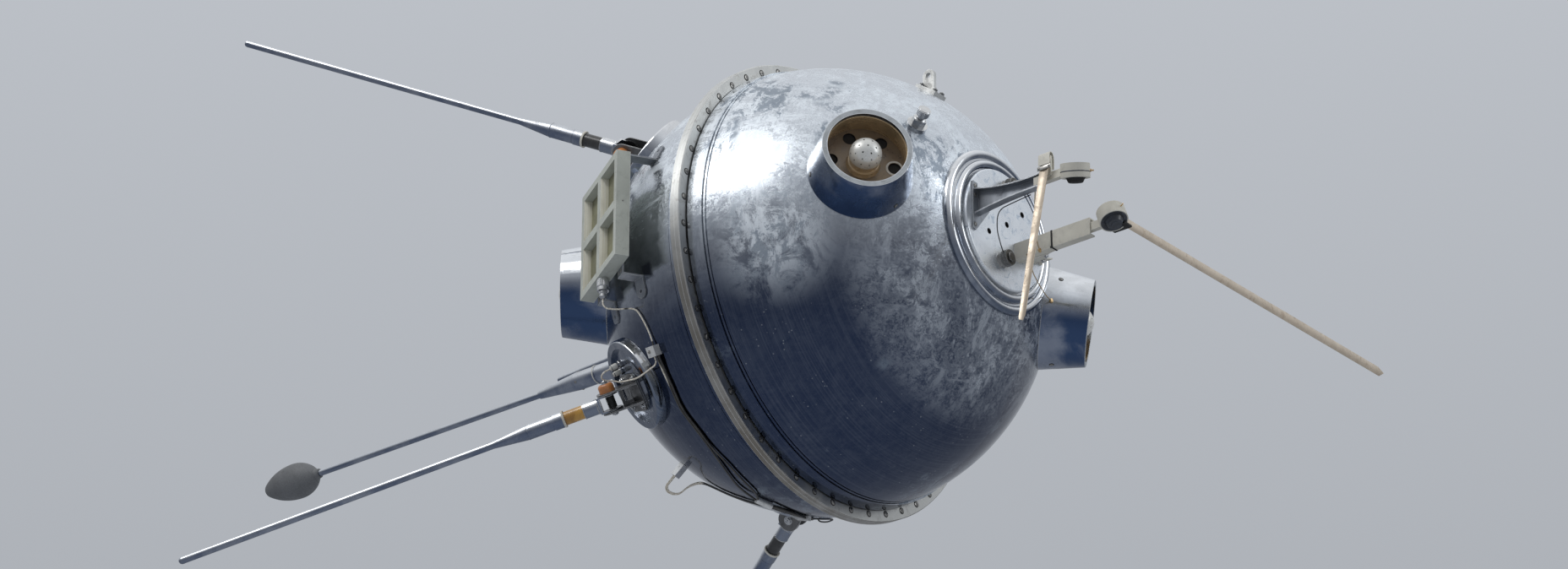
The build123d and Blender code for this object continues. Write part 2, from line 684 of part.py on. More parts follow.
def rod_plane(roll, splay, lean):
    """Hinge frame: x along the rod, y along the pin, z square to both."""
    r = math.radians(roll)
    s = math.radians(splay)
    t = math.radians(lean)
    level = Vector(-math.cos(s), math.sin(s) * math.cos(r), math.sin(s) * math.sin(r))
    across = Vector(0, -math.sin(r), math.cos(r))
    along = level * math.cos(t) + across * math.sin(t)
    pin = across * math.cos(t) - level * math.sin(t)
    return Plane(origin=pivot(roll), x_dir=along, z_dir=along.cross(pin))


def port(roll):
    """Round raised port with a sunk floor and the boss of one antenna."""
    body = disc(PORT_R, PORT_ROOT_RHO, PORT_RIM_RHO)
    edge = body.edges().filter_by(GeomType.CIRCLE).sort_by(Axis.Z)[-1]
    body = fillet(edge, PORT_RIM_FILLET)
    body -= disc(PORT_BORE_R, PORT_FLOOR_RHO, PORT_RIM_RHO)
    body += disc(PORT_BOSS_R, PORT_FLOOR_RHO, PORT_BOSS_RHO)
    return outward(PORT_POLAR, roll, 0) * body - ball()


def bracket_channel():
    """Two cheeks round the pin and the windowed web behind them, along the hinge frame's -x."""
    outer = CHEEK_GAP / 2 + CHEEK_T
    blank = span((-BRACKET_L, 0), (-outer, outer), (-CHEEK_R, CHEEK_R)) + cross_disc(CHEEK_R, 2 * outer)
    room = Box(4 * BRACKET_L, CHEEK_GAP, 3 * CHEEK_R)
    bore = cross_disc(PIN_R, 4 * outer)
    half = CHEEK_GAP / 2
    web = span((-BRACKET_L, -BRACKET_WEB_START), (-half, half), (-CHEEK_R, CHEEK_T - CHEEK_R))
    start, end = BRACKET_WINDOW
    half = BRACKET_WINDOW_W / 2
    window = span((-end, -start), (-half, half), (-2 * CHEEK_R, 0))
    return blank - room - bore + (web - window)


def antenna_bracket(port_roll, roll, splay, lean):
    """Channel on its foot with the hinge pin, and the spring round the pin."""
    base = outward(PORT_POLAR, port_roll, 0)
    hinge = rod_plane(roll, splay, lean)
    lean_back = Rot(0, splay - BRACKET_SPLAY, 0)
    channel = hinge * (lean_back * bracket_channel()) - base * below(PORT_BOSS_RHO)
    back = math.radians(splay - BRACKET_SPLAY)
    inner_end = Vector(-math.cos(back), 0, math.sin(back)) * BRACKET_L
    middle = base.to_local_coords(hinge.from_local_coords(inner_end))
    top = base.to_local_coords(hinge.origin)
    share = (top.Z - PORT_BOSS_RHO) / (top.Z - middle.Z)
    at = top + (middle - top) * share
    foot = extrude(RectangleRounded(FOOT_L, FOOT_W, FOOT_CORNER_R), FOOT_T)
    foot = base * (Pos(at.X + FOOT_SHIFT, at.Y, PORT_BOSS_RHO) * foot)
    pin = hinge * cross_disc(PIN_R, CHEEK_GAP + 2 * CHEEK_T)
    spring = hinge * (cross_disc(SPRING_R, SPRING_L) - cross_disc(SPRING_BORE_R, 2 * SPRING_L))
    return [channel + foot + pin, spring]


def antenna_knuckle(roll, splay, lean):
    """Open yoke on the pin and the collar that holds the insulator."""
    outer = YOKE_GAP / 2 + YOKE_T
    body = cross_disc(YOKE_R, 2 * outer)
    body += span((0, YOKE_END), (-outer, outer), (-YOKE_H / 2, YOKE_H / 2))
    half = YOKE_GAP / 2
    body -= span((-2 * YOKE_R, YOKE_END - YOKE_END_T), (-half, half), (-2 * YOKE_R, 2 * YOKE_R))
    body -= cross_disc(PIN_R + PIN_FIT, 4 * outer)
    body += Rot(0, 90, 0) * disc(COLLAR_R, YOKE_END, COLLAR_END)
    return rod_plane(roll, splay, lean) * body


def antenna_insulator(roll, splay, lean):
    """Insulating barrel between the collar and the rod."""
    return rod_plane(roll, splay, lean) * (Rot(0, 90, 0) * disc(INSULATOR_R, COLLAR_END, INSULATOR_END))


def antenna_rod(roll, splay, lean):
    """Cup, groove, thick body, taper and long thin rod."""
    groove_end = CUP_END + CUP_GROOVE_W
    body = disc(CUP_R, INSULATOR_END, CUP_END)
    body += disc(CUP_GROOVE_R, CUP_END, groove_end)
    body += disc(ROD_BODY_R, groove_end, ROD_SHOULDER)
    body += cone(ROD_BODY_R, ROD_R, ROD_SHOULDER, ROD_TAPER_END)
    body += disc(ROD_R, ROD_TAPER_END, ROD_END - ROD_R)
    body += Pos(0, 0, ROD_END - ROD_R) * Sphere(ROD_R)
    return rod_plane(roll, splay, lean) * (Rot(0, 90, 0) * body)


def pin_cap(roll, splay, lean, side):
    """Round insulating cap on one end of the hinge pin."""
    face = CHEEK_GAP / 2 + CHEEK_T
    cap = disc(PIN_CAP_R, face, face + PIN_CAP_T)
    cap = fillet(cap.edges().filter_by(GeomType.CIRCLE).sort_by(Axis.Z)[-1], PIN_CAP_FILLET)
    return rod_plane(roll, splay, lean) * (Rot(-90 * side, 0, 0) * cap)


def port_plugs(port_roll, roll, side):
    """Lead plugs that stand on a port beside the hinge."""
    base = outward(PORT_POLAR, port_roll, 0)
    hinge_at = base.to_local_coords(pivot(roll))
    body = port(port_roll)
    plugs = []
    for ahead, beside, radius, top in PORT_PLUGS:
        place = Pos(hinge_at.X + ahead, hinge_at.Y - side * beside, 0)
        plugs.append(base * (place * disc(radius, SPHERE_R, SPHERE_R + top)) - body - ball())
    return plugs


def ribbon_arm_1():
    """Curved gusset with flanged edges."""
    y, z = ARM_1_ROOT
    x0 = crown_face()
    x1 = x0 + ARM_1_L
    half_tip = ARM_1_TIP_H / 2
    bend = x0 + ARM_1_L * ARM_BEND_SHARE
    rise = half_tip + (ARM_1_ROOT_HIGH - half_tip) * ARM_BULGE_SHARE
    dip = half_tip + (ARM_1_ROOT_LOW - half_tip) * ARM_BULGE_SHARE
    top = ThreePointArc((x0, z + ARM_1_ROOT_HIGH), (bend, z + rise), (x1, z + half_tip))
    end = Line((x1, z + half_tip), (x1, z - half_tip))
    low = ThreePointArc((x1, z - half_tip), (bend, z - dip), (x0, z - ARM_1_ROOT_LOW))
    back = Line((x0, z - ARM_1_ROOT_LOW), (x0, z + ARM_1_ROOT_HIGH))
    outline = make_face(top + end + low + back)
    solid = extrude(Plane.XZ.offset(-y) * outline, ARM_W / 2, both=True)
    inner = offset(outline, -ARM_T) + Pos(x1 - ARM_T, z) * Rectangle(
        4 * ARM_T, ARM_1_TIP_H - 2 * ARM_T
    )
    room = extrude(Plane.XZ.offset(-(y + ARM_W / 2 - ARM_T)) * inner, ARM_W)
    foot = make_face(Polyline(*[(y + a, z + b) for a, b in ARM_1_FOOT], close=True))
    return solid - room + Plane.YZ.offset(x0) * extrude(foot, ARM_FOOT_T)


def ribbon_arm_2():
    """Straight channel with a sloping gusset at its foot."""
    y, z = ARM_2_ROOT
    x0 = crown_face()
    half_w = ARM_W / 2
    half_h = ARM_2_H / 2
    arm = span((x0, x0 + ARM_2_L), (y - half_w, y + half_w), (z - half_h, z + half_h))
    arm -= span(
        (x0 + ARM_2_BLOCK_L, x0 + 2 * ARM_2_L),
        (y - half_w + ARM_T, y + 2 * ARM_W),
        (z - half_h + ARM_T, z + half_h - ARM_T),
    )
    slope = math.radians(ARM_2_GUSSET_SLOPE)
    start, bend, end = ARM_2_GUSSET
    edge = Polyline((end[0], end[1]), (0, end[1]), (0, -ARM_T), (start[0], -ARM_T), start)
    outline = make_face(ThreePointArc(start, bend, end) + edge)
    place = Plane(
        origin=(x0, y + half_w, z - half_h),
        x_dir=(1, 0, 0),
        z_dir=(0, -math.sin(slope), math.cos(slope)),
    )
    gusset = place * extrude(outline, ARM_T)
    reach = end[1] * math.cos(slope)
    rise = end[1] * math.sin(slope)
    foot = Pos(
        x0 + ARM_FOOT_T / 2, y + half_w + reach - ARM_2_FOOT[0] / 2, z - half_h + rise
    ) * Box(ARM_FOOT_T, *ARM_2_FOOT)
    return arm + gusset + foot


def from_crown(point):
    """Point whose x is counted from the crown plate's face."""
    return Vector(point[0] + crown_face(), point[1], point[2])


def reel_bracket(centre, root, length):
    """Bar from inside the tip of an arm into the housing."""
    low = crown_face() + length - REEL_BAR_GRIP
    bar = Box(centre.X - low, ARM_W - 2 * (ARM_T + SEAT), REEL_BAR_H)
    return Pos((low + centre.X) / 2, root[0], root[1]) * bar


def ribbon_reel_1():
    """Upright housing with the guide that the hanging ribbon leaves."""
    centre = from_crown(REEL_1_AT)
    hub_low = -REEL_H / 2 - REEL_HUB_H
    drum = disc(REEL_R, -REEL_H / 2, REEL_H / 2)
    drum += cone(REEL_HUB_R, REEL_HUB_R + REEL_HUB_STEP, hub_low, -REEL_H / 2)
    body = Plane(origin=centre, z_dir=REEL_1_AXIS) * drum
    start = from_crown(TAPE_1_START)
    back = start.Y + TAPE_T / 2 + SEAT
    half = TAPE_W / 2
    post = span(
        (start.X - half, start.X + half),
        (back, back + GUIDE_T),
        (ARM_1_ROOT[1], start.Z + GUIDE_RISE),
    )
    return body + reel_bracket(centre, ARM_1_ROOT, ARM_1_L) + post


def ribbon_reel_2():
    """Tilted housing with the mouth that the level ribbon leaves."""
    centre = from_crown(REEL_2_AT)
    hub_high = REEL_H / 2 + REEL_HUB_H
    drum = disc(REEL_R, -REEL_H / 2, REEL_H / 2)
    drum += cone(REEL_HUB_R + REEL_HUB_STEP, REEL_HUB_R, REEL_H / 2, hub_high)
    body = Plane(origin=centre, z_dir=REEL_2_AXIS) * drum
    start = from_crown(TAPE_2_START)
    half_t = MOUTH_T / 2
    half_h = TAPE_W / 2 + MOUTH_MARGIN
    mouth = span(
        (start.X - half_t, start.X + half_t),
        (centre.Y, start.Y - SEAT),
        (start.Z - half_h, start.Z + half_h),
    )
    return body + reel_bracket(centre, ARM_2_ROOT, ARM_2_L) + mouth


def tape(start, along, width_dir, length):
    """Flat spring ribbon with a rounded tip."""
    normal = Vector(along).cross(Vector(width_dir))
    place = Plane(origin=from_crown(start), x_dir=along, z_dir=normal)
    flat = Pos(length / 2 - TAPE_W / 4, 0) * Rectangle(length - TAPE_W / 2, TAPE_W)
    flat += Pos(length - TAPE_W / 2, 0) * Circle(TAPE_W / 2)
    return place * extrude(flat, TAPE_T / 2, both=True)


def cord(points, diameter):
    """Round cord of straight runs joined by tangent arcs."""
    radii = []
    for before, at, after in zip(points, points[1:], points[2:]):
        shorter = min((at - before).length, (after - at).length)
        turn = math.radians((at - before).get_angle(after - at))
        radii.append(CORD_SHARE * shorter / math.tan(turn / 2))
    path = FilletPolyline(*points, radius=radii)
    tube = sweep((path ^ 0) * Circle(diameter / 2), path=path)
    share = tube.volume / (math.pi * diameter**2 / 4 * path.length)
    print("cord %.0f mm, %.1f thick, volume share %.4f, radii" % (path.length, diameter, share), end="")
    print("".join(" %.0f" % radius for radius in radii))
    return tube


def held(plane, rows):
    """Points given in a plane's own directions."""
    return [plane.from_local_coords(Vector(*row)) for row in rows]


def over(rows):
    """Points given by polar angle, roll and height over the sphere."""
    return [spot(polar, roll, SPHERE_R + height) for polar, roll, height in rows]


def along_sphere(rows, diameter):
    """Points of a cord that lies on the sphere."""
    return [spot(polar, roll, SPHERE_R + CORD_LIFT + diameter / 2) for polar, roll in rows]


def clamp_plane():
    """Plane of the clamp near the sensor panel."""
    return outward(*CLAMP_AT, SPHERE_R)


def block_plane():
    """Plane of the block where the cables end."""
    plane = outward(*BLOCK_AT, SPHERE_R)
    return plane.rotated((0, 0, BLOCK_TURN))


def sleeve_plane():
    """Plane at the start of the sleeve, z along it and y towards the boom."""
    start, end = [spot(polar, roll, SLEEVE_RHO) for polar, roll in SLEEVE_AT]
    return Plane(origin=start, x_dir=start, z_dir=end - start), (end - start).length


def cables():
    """Cables between the clamp, the sleeve, the plugs and the block."""
    clamp = clamp_plane()
    block = block_plane()
    sleeve, sleeve_l = sleeve_plane()
    port_b = outward(PORT_POLAR, ANTENNAS["b"][0], SPHERE_R)
    port_c = outward(PORT_POLAR, ANTENNAS["c"][0], SPHERE_R)
    one = held(clamp, CABLE_1_SEAT) + along_sphere(CABLE_1_RUN, CABLE_D)
    two = held(clamp, CABLE_2_SEAT) + along_sphere(CABLE_2_RUN, CABLE_D)
    trunk = held(sleeve, [(0, 0, sleeve_l - TRUNK_REACH)]) + along_sphere(TRUNK_RUN, TRUNK_D)
    limb_1 = over(LIMB_1_LOOP) + along_sphere(LIMB_1_RUN, LEAD_D)
    limb_2 = over(LIMB_2_LOOP) + along_sphere(LIMB_2_RUN, LEAD_D)
    plug_x, plug_z = PANEL_PLUG_AT
    gland_end = -PANEL_H / 2 - PANEL_PLUG_L - PANEL_GLAND_L
    panel_exit = [(plug_x, gland_end + GLAND_REACH, plug_z), (plug_x, gland_end - PANEL_LEAD_DROP, plug_z)]
    panel_lead = held(panel_plane(), panel_exit)
    panel_lead += over(PANEL_LEAD_FALL) + along_sphere(PANEL_LEAD_RUN, LEAD_D)
    port_lead = held(port_b, PORT_LEAD_LOOP) + along_sphere(PORT_LEAD_RUN, LEAD_D)
    wire = held(port_c, HINGE_WIRE_LOOP) + along_sphere(HINGE_WIRE_RUN, LEAD_D)
    return [
        cord(one + held(sleeve, [(0, SLEEVE_SPREAD, SLEEVE_REACH)]), CABLE_D),
        cord(two + held(sleeve, [(0, -SLEEVE_SPREAD, SLEEVE_REACH)]), CABLE_D),
        cord(trunk + held(block, TRUNK_SEAT), TRUNK_D),
        cord(limb_1 + held(block, LIMB_1_SEAT), LEAD_D),
        cord(limb_2 + held(block, LIMB_2_SEAT), LEAD_D),
        cord(panel_lead + held(clamp, PANEL_LEAD_SEAT), LEAD_D),
        cord(port_lead + held(clamp, PORT_LEAD_SEAT), LEAD_D),
        cord(wire, LEAD_D),
    ]


def holder(size):
    """Block that stands on the sphere in a plane square to the radius."""
    length, width, height = size
    return span((-length / 2, length / 2), (-width / 2, width / 2), (-HOLDER_ROOT, height))


def without(piece, others):
    """A piece less the cords that it holds."""
    for other in others:
        piece -= other
    return piece


def cable_clamps(cords):
    """Clamp, sleeve, clip and block that hold the cables."""
    sleeve, sleeve_l = sleeve_plane()
    pieces = [
        clamp_plane() * holder(CLAMP_SIZE) - ball(),
        sleeve * disc(SLEEVE_R, 0, sleeve_l),
        outward(*CLIP_AT, SPHERE_R) * holder(CLIP_SIZE) - ball(),
        block_plane() * holder(BLOCK_SIZE) - ball(),
    ]
    return [without(piece, cords) for piece in pieces]


def plugs(cords):
    """Plugs of the panel, of the ports and of the limb leads."""
    plug_x, plug_z = PANEL_PLUG_AT
    edge = PANEL_H / 2
    gland = edge + PANEL_PLUG_L
    panel_plug = disc(PANEL_PLUG_R, edge, gland) + disc(PANEL_GLAND_R, gland, gland + PANEL_GLAND_L)
    pieces = [panel_plane() * (Pos(plug_x, 0, plug_z) * Rot(90, 0, 0) * panel_plug)]
    pieces.append(outward(*LIMB_PLUG_AT, SPHERE_R) * holder(LIMB_PLUG_SIZE) - ball())
    for port_roll, roll, splay, lean, side in ANTENNAS.values():
        pieces += port_plugs(port_roll, roll, side)
    return [without(piece, cords) for piece in pieces]


def build():
    """All pieces by node name."""
    parts = {}
    parts["hull_crown"] = hemisphere(CROWN_BANDS, CROWN_R)
    parts["hull_boom"] = mirror_x(hemisphere(BOOM_BANDS, BOOM_POLE_FLAT_R))
    parts["flange_crown"] = flange()
    parts["flange_boom"] = mirror_x(flange())
    parts["crown_ring"] = crown_ring()
    parts["crown_plate"] = crown_plate()
    parts["crown_connectors"] = [crown_socket(*row) for row in CROWN_SOCKETS]
    for name, (polar, roll) in TRAPS.items():
        parts["trap_shroud_" + name] = trap_shroud(polar, roll)
        parts["trap_plate_" + name] = trap_plate(polar, roll)
        parts["trap_electrode_" + name] = trap_electrode(polar, roll)
    parts["charging_valve"] = valve()
    for name, polar in LUGS.items():
        parts["lug_" + name] = lug(polar)
    parts["panel_frame"] = panel_frame()
    parts["panel_cells"] = panel_cells()
    parts["panel_feet"] = [panel_foot(*row) for row in PANEL_FEET]
    parts["boom_base"] = boom_base()
    parts["boom_tube"] = boom_tube()
    parts["boom_rod"] = boom_rod()
    parts["magnetometer_head"] = magnetometer_head()
    parts["lead_insulators"] = []
    for name, (port_roll, roll, splay, lean, side) in ANTENNAS.items():
        parts["antenna_port_" + name] = port(port_roll)
        parts["antenna_bracket_" + name] = antenna_bracket(port_roll, roll, splay, lean)
        parts["antenna_knuckle_" + name] = antenna_knuckle(roll, splay, lean)
        parts["antenna_insulator_" + name] = antenna_insulator(roll, splay, lean)
        parts["antenna_rod_" + name] = antenna_rod(roll, splay, lean)
        parts["lead_insulators"].append(pin_cap(roll, splay, lean, side))
    parts["ribbon_arm_1"] = ribbon_arm_1()
    parts["ribbon_arm_2"] = ribbon_arm_2()
    parts["ribbon_reel_1"] = ribbon_reel_1()
    parts["ribbon_reel_2"] = ribbon_reel_2()
    parts["ribbon_tape_1"] = tape(TAPE_1_START, TAPE_1_ALONG, (1, 0, 0), TAPE_1_L)
    parts["ribbon_tape_2"] = tape(TAPE_2_START, TAPE_2_ALONG, (0, 0, 1), TAPE_2_L)
    cords = cables()
    parts["cables"] = cords
    parts["cable_clamps"] = cable_clamps(cords)
    parts["plugs"] = plugs(cords)
    parts["crown_leads"] = [cord([from_crown(row) for row in rows], CROWN_LEAD_D) for rows in CROWN_LEADS]
    return parts


def write(parts):
    """One STEP file for each node."""
    os.makedirs("parts", exist_ok=True)
    for name, shape in parts.items():
        if isinstance(shape, list):
            shape = Compound(children=[solid for piece in shape for solid in piece.solids()])
        export_step(shape, "parts/" + name + ".step")


if __name__ == "__main__":
    write(build())
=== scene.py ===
"""Looks of the spherical space probe: finishes, fasteners, wiring, light and camera."""

import bmesh
import bpy
from collections import namedtuple
from functools import partialmethod
from math import atan2, cos, degrees, radians, sin, sqrt, tau
from mathutils import Matrix, Vector


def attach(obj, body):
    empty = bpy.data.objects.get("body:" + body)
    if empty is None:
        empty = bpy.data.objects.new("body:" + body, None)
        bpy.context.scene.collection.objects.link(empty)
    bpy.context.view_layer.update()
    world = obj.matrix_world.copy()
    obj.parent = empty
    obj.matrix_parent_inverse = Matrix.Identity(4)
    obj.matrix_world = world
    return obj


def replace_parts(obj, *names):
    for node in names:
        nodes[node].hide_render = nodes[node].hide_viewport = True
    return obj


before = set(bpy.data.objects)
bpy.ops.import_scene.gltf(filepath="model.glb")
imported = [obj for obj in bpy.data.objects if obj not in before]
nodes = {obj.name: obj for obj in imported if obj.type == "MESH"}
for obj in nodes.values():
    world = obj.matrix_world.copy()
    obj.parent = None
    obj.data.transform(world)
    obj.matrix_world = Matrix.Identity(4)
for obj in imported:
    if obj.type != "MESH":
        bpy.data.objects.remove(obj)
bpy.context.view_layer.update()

X, Y, Z = (Vector(axis) for axis in ((1, 0, 0), (0, 1, 0), (0, 0, 1)))

# Sizes of the probe, in metres
SPHERE_R = 0.425
FLANGE_FACE = 0.0106
SCREW_CIRCLE_R = 0.435
SCREW_COUNT = 50
SCREW_FIRST_ROLL = 118.9
VALVE_AT = (34.7, 137.0)
LUG_POLARS = (54.0, 119.5)
LUG_FOOT_TOP = 0.0066
# Ion traps: polar angle and roll of the axis, azimuth and level of the first screw round its foot
TRAPS = {
    "crown_left": (43.5, 172.0, -164.0, 0.4262),
    "crown_right": (36.4, -15.5, -16.5, 0.44),
    "boom_left": (141.5, 180.0, -16.5, 0.44),
    "boom_right": (141.5, 0.0, -164.0, 0.4262),
}
# Levels on the axis of a trap, from the sphere's centre, and radii
TRAP_ROOT = 0.376
TRAP_FLOOR = 0.446
TRAP_RIM = 0.501
TRAP_ROOT_R = 0.104
TRAP_TAPER = 0.168
TRAP_LEAN = 9.5
TRAP_MOUTH_R = 0.073
TRAP_ROOT_BORE_R = 0.084
TRAP_GROOVE = 0.009
TRAP_HOLES = 6
TRAP_HOLE_CIRCLE_R = 0.058
LINING_T = 0.0016
DOME_R = 0.03
DOME_CENTRE = 0.478
# Crown: (y, z) of its holes and of the screws of the two arms; (y, z, radius) of its connectors
CROWN_FACE = 0.41614
CROWN_HOLES = ((-0.048, -0.021), (0.008, 0.014), (0.057, 0.054))
ARM_1_SCREWS = ((-0.094, 0.053), (-0.094, 0.033), (-0.078, 0.013), (-0.0955, -0.027))
ARM_2_SCREWS = ((0.101, -0.024), (0.098, -0.027))
CONNECTORS = ((0.008, 0.092, 0.013), (-0.01, -0.066, 0.015))
# Ribbon housings: x from the crown plate, y, z, and the axis
REEL_1 = (0.2239, -0.089, 0.012, (0.2, -0.3, 0.93))
REEL_2 = (0.2149, 0.037, -0.026, (0.35, -0.1, -0.93))
RIBBON_W = 0.02
RIBBON_T = 0.0008
# Rod antennas: rolls of the port and of the hinge, splay, lean, side of the insulated pin end
Antenna = namedtuple("Antenna", "port_roll roll splay lean side")
ANTENNAS = {
    "a": Antenna(132.5, 132.5, 34.0, 1.2, 1),
    "b": Antenna(218.7, 220.5, 31.2, -3.5, -1),
    "c": Antenna(308.7, 308.7, 32.8, 0.0, 1),
    "d": Antenna(38.7, 38.7, 13.1, -3.3, -1),
}
PORT_POLAR = 123.1
PIVOT_SHIFT = -0.0201
PIVOT_RISE = 0.053
BRACKET_SPLAY = 33.0
BRACKET_FOOT_TOP = 0.01
PIN_END = 0.02
PIN_CAP_END = 0.036
# Plugs of each port: ahead of the hinge, beside it, radius, top
PORT_PLUGS = ((0.001, 0.0565, 0.005, 0.028), (-0.008, 0.0425, 0.0045, 0.024))
# Sensor panel
PANEL_AT = (115.3, 174.6)
PANEL_RHO = 0.4604
PANEL_YAW = 31.0
PANEL_W = 0.207
PANEL_H = 0.216
PANEL_D = 0.027
PANEL_WINDOW = (0.0825, 0.087)
PANEL_WINDOW_AT = (0.04925, 0.0515)
PANEL_FLOOR = -0.0025
PANEL_FEET = ((0.052, -1), (-0.067, -1), (0.052, 1), (-0.067, 1))
LINER_T = 0.0007
# Magnetometer boom: the distances count from the sphere
BOOM_NUTS = 8
BOOM_NUT_CIRCLE_R = 0.045
BOOM_FLANGE_TOP = 0.01
BOOM_JOINT = 0.149
BOOM_TAPER = 0.194
HEAD_BACK = 0.916

# Viewpoint
VIEW_AZIMUTH = 38.87
VIEW_ELEVATION = -26.47
VIEW_DISTANCE = 8.5
VIEW_SHIFT_RIGHT = -0.0816
VIEW_SHIFT_UP = 0.01615
LENS = 103.15
# Studio: the backdrop's colours straight down and up, and (level, grey) between them
BACKDROP_LOW = (0.26, 0.27, 0.3)
BACKDROP_HIGH = (0.9, 0.92, 0.95)
BACKDROP_GREYS = ((0.22, 0.36), (0.42, 0.46), (0.62, 0.62))
FILL_COLOUR = (0.92, 0.95, 1.0)
FILL_STRENGTH = 0.52
FLOOR_Z = -3.86
FLOOR_REACH = 150.0
FLOOR_COLOUR = (0.62, 0.64, 0.68)
# Lamps: place, width, height, watts, tint
LAMPS = {
    "key_lamp": ((-0.9, -3.4, 3.3), 3.0, 1.9, 88, (1, 1, 1)),
    "side_lamp": ((4.6, 1.6, 2.2), 2.4, 3.0, 65, (0.92, 0.96, 1.0)),
}


# Places

def frame_of(x, y, z, origin):
    """Frame from its three directions and its origin."""
    place = Matrix((x, y, z)).transposed().to_4x4()
    place.translation = origin
    return place


def direction(polar, roll):
    """Unit vector from the centre: polar angle from +X, roll about X from +Y to +Z."""
    p, r = radians(polar), radians(roll)
    return Vector((cos(p), sin(p) * cos(r), sin(p) * sin(r)))


def outward(polar, roll, rho=0.0):
    """Frame square to the radius: x along the meridian towards +X, z outwards."""
    z = direction(polar, roll)
    x = -direction(polar + 90, roll)
    return frame_of(x, z.cross(x), z, z * rho)


def new_object(name, data):
    """Object of some data, in the scene."""
    made = bpy.data.objects.new(name, data)
    bpy.context.scene.collection.objects.link(made)
    return made


# Shader nodes

def feed(tree, socket, value):
    """Sets a socket to a number or colour, or links another node's output to it."""
    if isinstance(value, bpy.types.NodeSocket):
        tree.links.new(value, socket)
    elif socket.type == "RGBA":
        socket.default_value = (*value, 1)
    else:
        socket.default_value = value


def add_node(tree, kind, inputs, output=0, **settings):
    """Adds a node, feeds its sockets by name or number, and gives one of its outputs."""
    node = tree.nodes.new("ShaderNode" + kind)
    for setting, value in settings.items():
        setattr(node, setting, value)
    for socket, value in inputs.items():
        feed(tree, node.inputs[socket], value)
    return node.outputs[output]


# Camera, floor and light

def add_camera():
    """Camera at the photograph's viewpoint, near the floor and looking up."""
    a, e = radians(VIEW_AZIMUTH), radians(VIEW_ELEVATION)
    right = Vector((cos(a), sin(a), 0))
    back = Vector((sin(a) * cos(e), -cos(a) * cos(e), sin(e)))
    up = back.cross(right)
    data = bpy.data.cameras.new("camera")
    data.lens = LENS
    data.sensor_width = 36.0
    data.clip_end = 400.0
    camera = new_object("camera", data)
    at = right * VIEW_SHIFT_RIGHT + up * VIEW_SHIFT_UP + back * VIEW_DISTANCE
    camera.matrix_world = frame_of(right, up, back, at)
    bpy.context.scene.camera = camera


def add_lamp(name, at, width, height, watts, tint):
    """Soft rectangular lamp that faces the sphere's centre."""
    data = bpy.data.lights.new(name, "AREA")
    data.shape = "RECTANGLE"
    data.size = width
    data.size_y = height
    data.energy = watts
    data.color = tint
    lamp = new_object(name, data)
    lamp.location = at
    lamp.rotation_euler = (-Vector(at)).to_track_quat("-Z", "Y").to_euler()


def shown_rays(tree):
    """1 on the rays that show the backdrop: camera, glossy and transmission."""
    path = tree.nodes.new("ShaderNodeLightPath").outputs
    total = path["Is Camera Ray"]
    for kind in ("Is Glossy Ray", "Is Transmission Ray"):
        total = add_node(tree, "Math", {0: total, 1: path[kind]}, operation="ADD", use_clamp=True)
    return total


def add_world():
    """Backdrop that is pale overhead and a little deeper towards the horizon."""
    world = bpy.data.worlds.new("studio")
    bpy.context.scene.world = world
    world.use_nodes = True
    tree = world.node_tree
    tree.nodes.clear()
    height = add_node(tree, "SeparateXYZ", {0: add_node(tree, "TexCoord", {}, "Generated")}, "Z")
    shades = add_node(tree, "ValToRGB", {0: height})
    ramp = shades.node.color_ramp
    ramp.interpolation = "B_SPLINE"
    ramp.elements[0].color = (*BACKDROP_LOW, 1)
    ramp.elements[1].color = (*BACKDROP_HIGH, 1)
    for level, grey in BACKDROP_GREYS:
        ramp.elements.new(level).color = (grey * 0.95, grey, grey * 1.08, 1)
    seen = add_node(tree, "Background", {"Color": shades})
    fill = add_node(tree, "Background", {"Color": FILL_COLOUR, "Strength": FILL_STRENGTH})
    either = add_node(tree, "MixShader", {0: shown_rays(tree), 1: fill, 2: seen})
    feed(tree, tree.nodes.new("ShaderNodeOutputWorld").inputs["Surface"], either)


def add_floor():
    """Plain pale floor, clear from below so that it never hides the probe."""
    bm = bmesh.new()
    bmesh.ops.create_grid(bm, x_segments=1, y_segments=1, size=FLOOR_REACH)
    mesh = bpy.data.meshes.new("floor")
    bm.to_mesh(mesh)
    bm.free()
    floor = new_object("floor", mesh)
    floor.location = (0, 0, FLOOR_Z)
    f = Finish("floor_paint", Base_Color=FLOOR_COLOUR, Roughness=0.85)
    below = f.node("NewGeometry", {}, "Backfacing")
    clear = f.node("BsdfTransparent", {})
    either = f.node("MixShader", {0: below, 1: f.shader.outputs[0], 2: clear})
    feed(f.tree, f.tree.nodes["Material Output"].inputs["Surface"], either)
    mesh.materials.append(finishes["floor_paint"])


def add_studio():
    """Camera, backdrop, floor and two soft lamps."""
    bpy.context.scene.view_settings.view_transform = "Standard"
    add_camera()
    add_world()
    add_floor()
    for name, lamp in LAMPS.items():
        add_lamp(name, *lamp)


# Finishes

finishes = {}  # materials by name, as Finish makes them


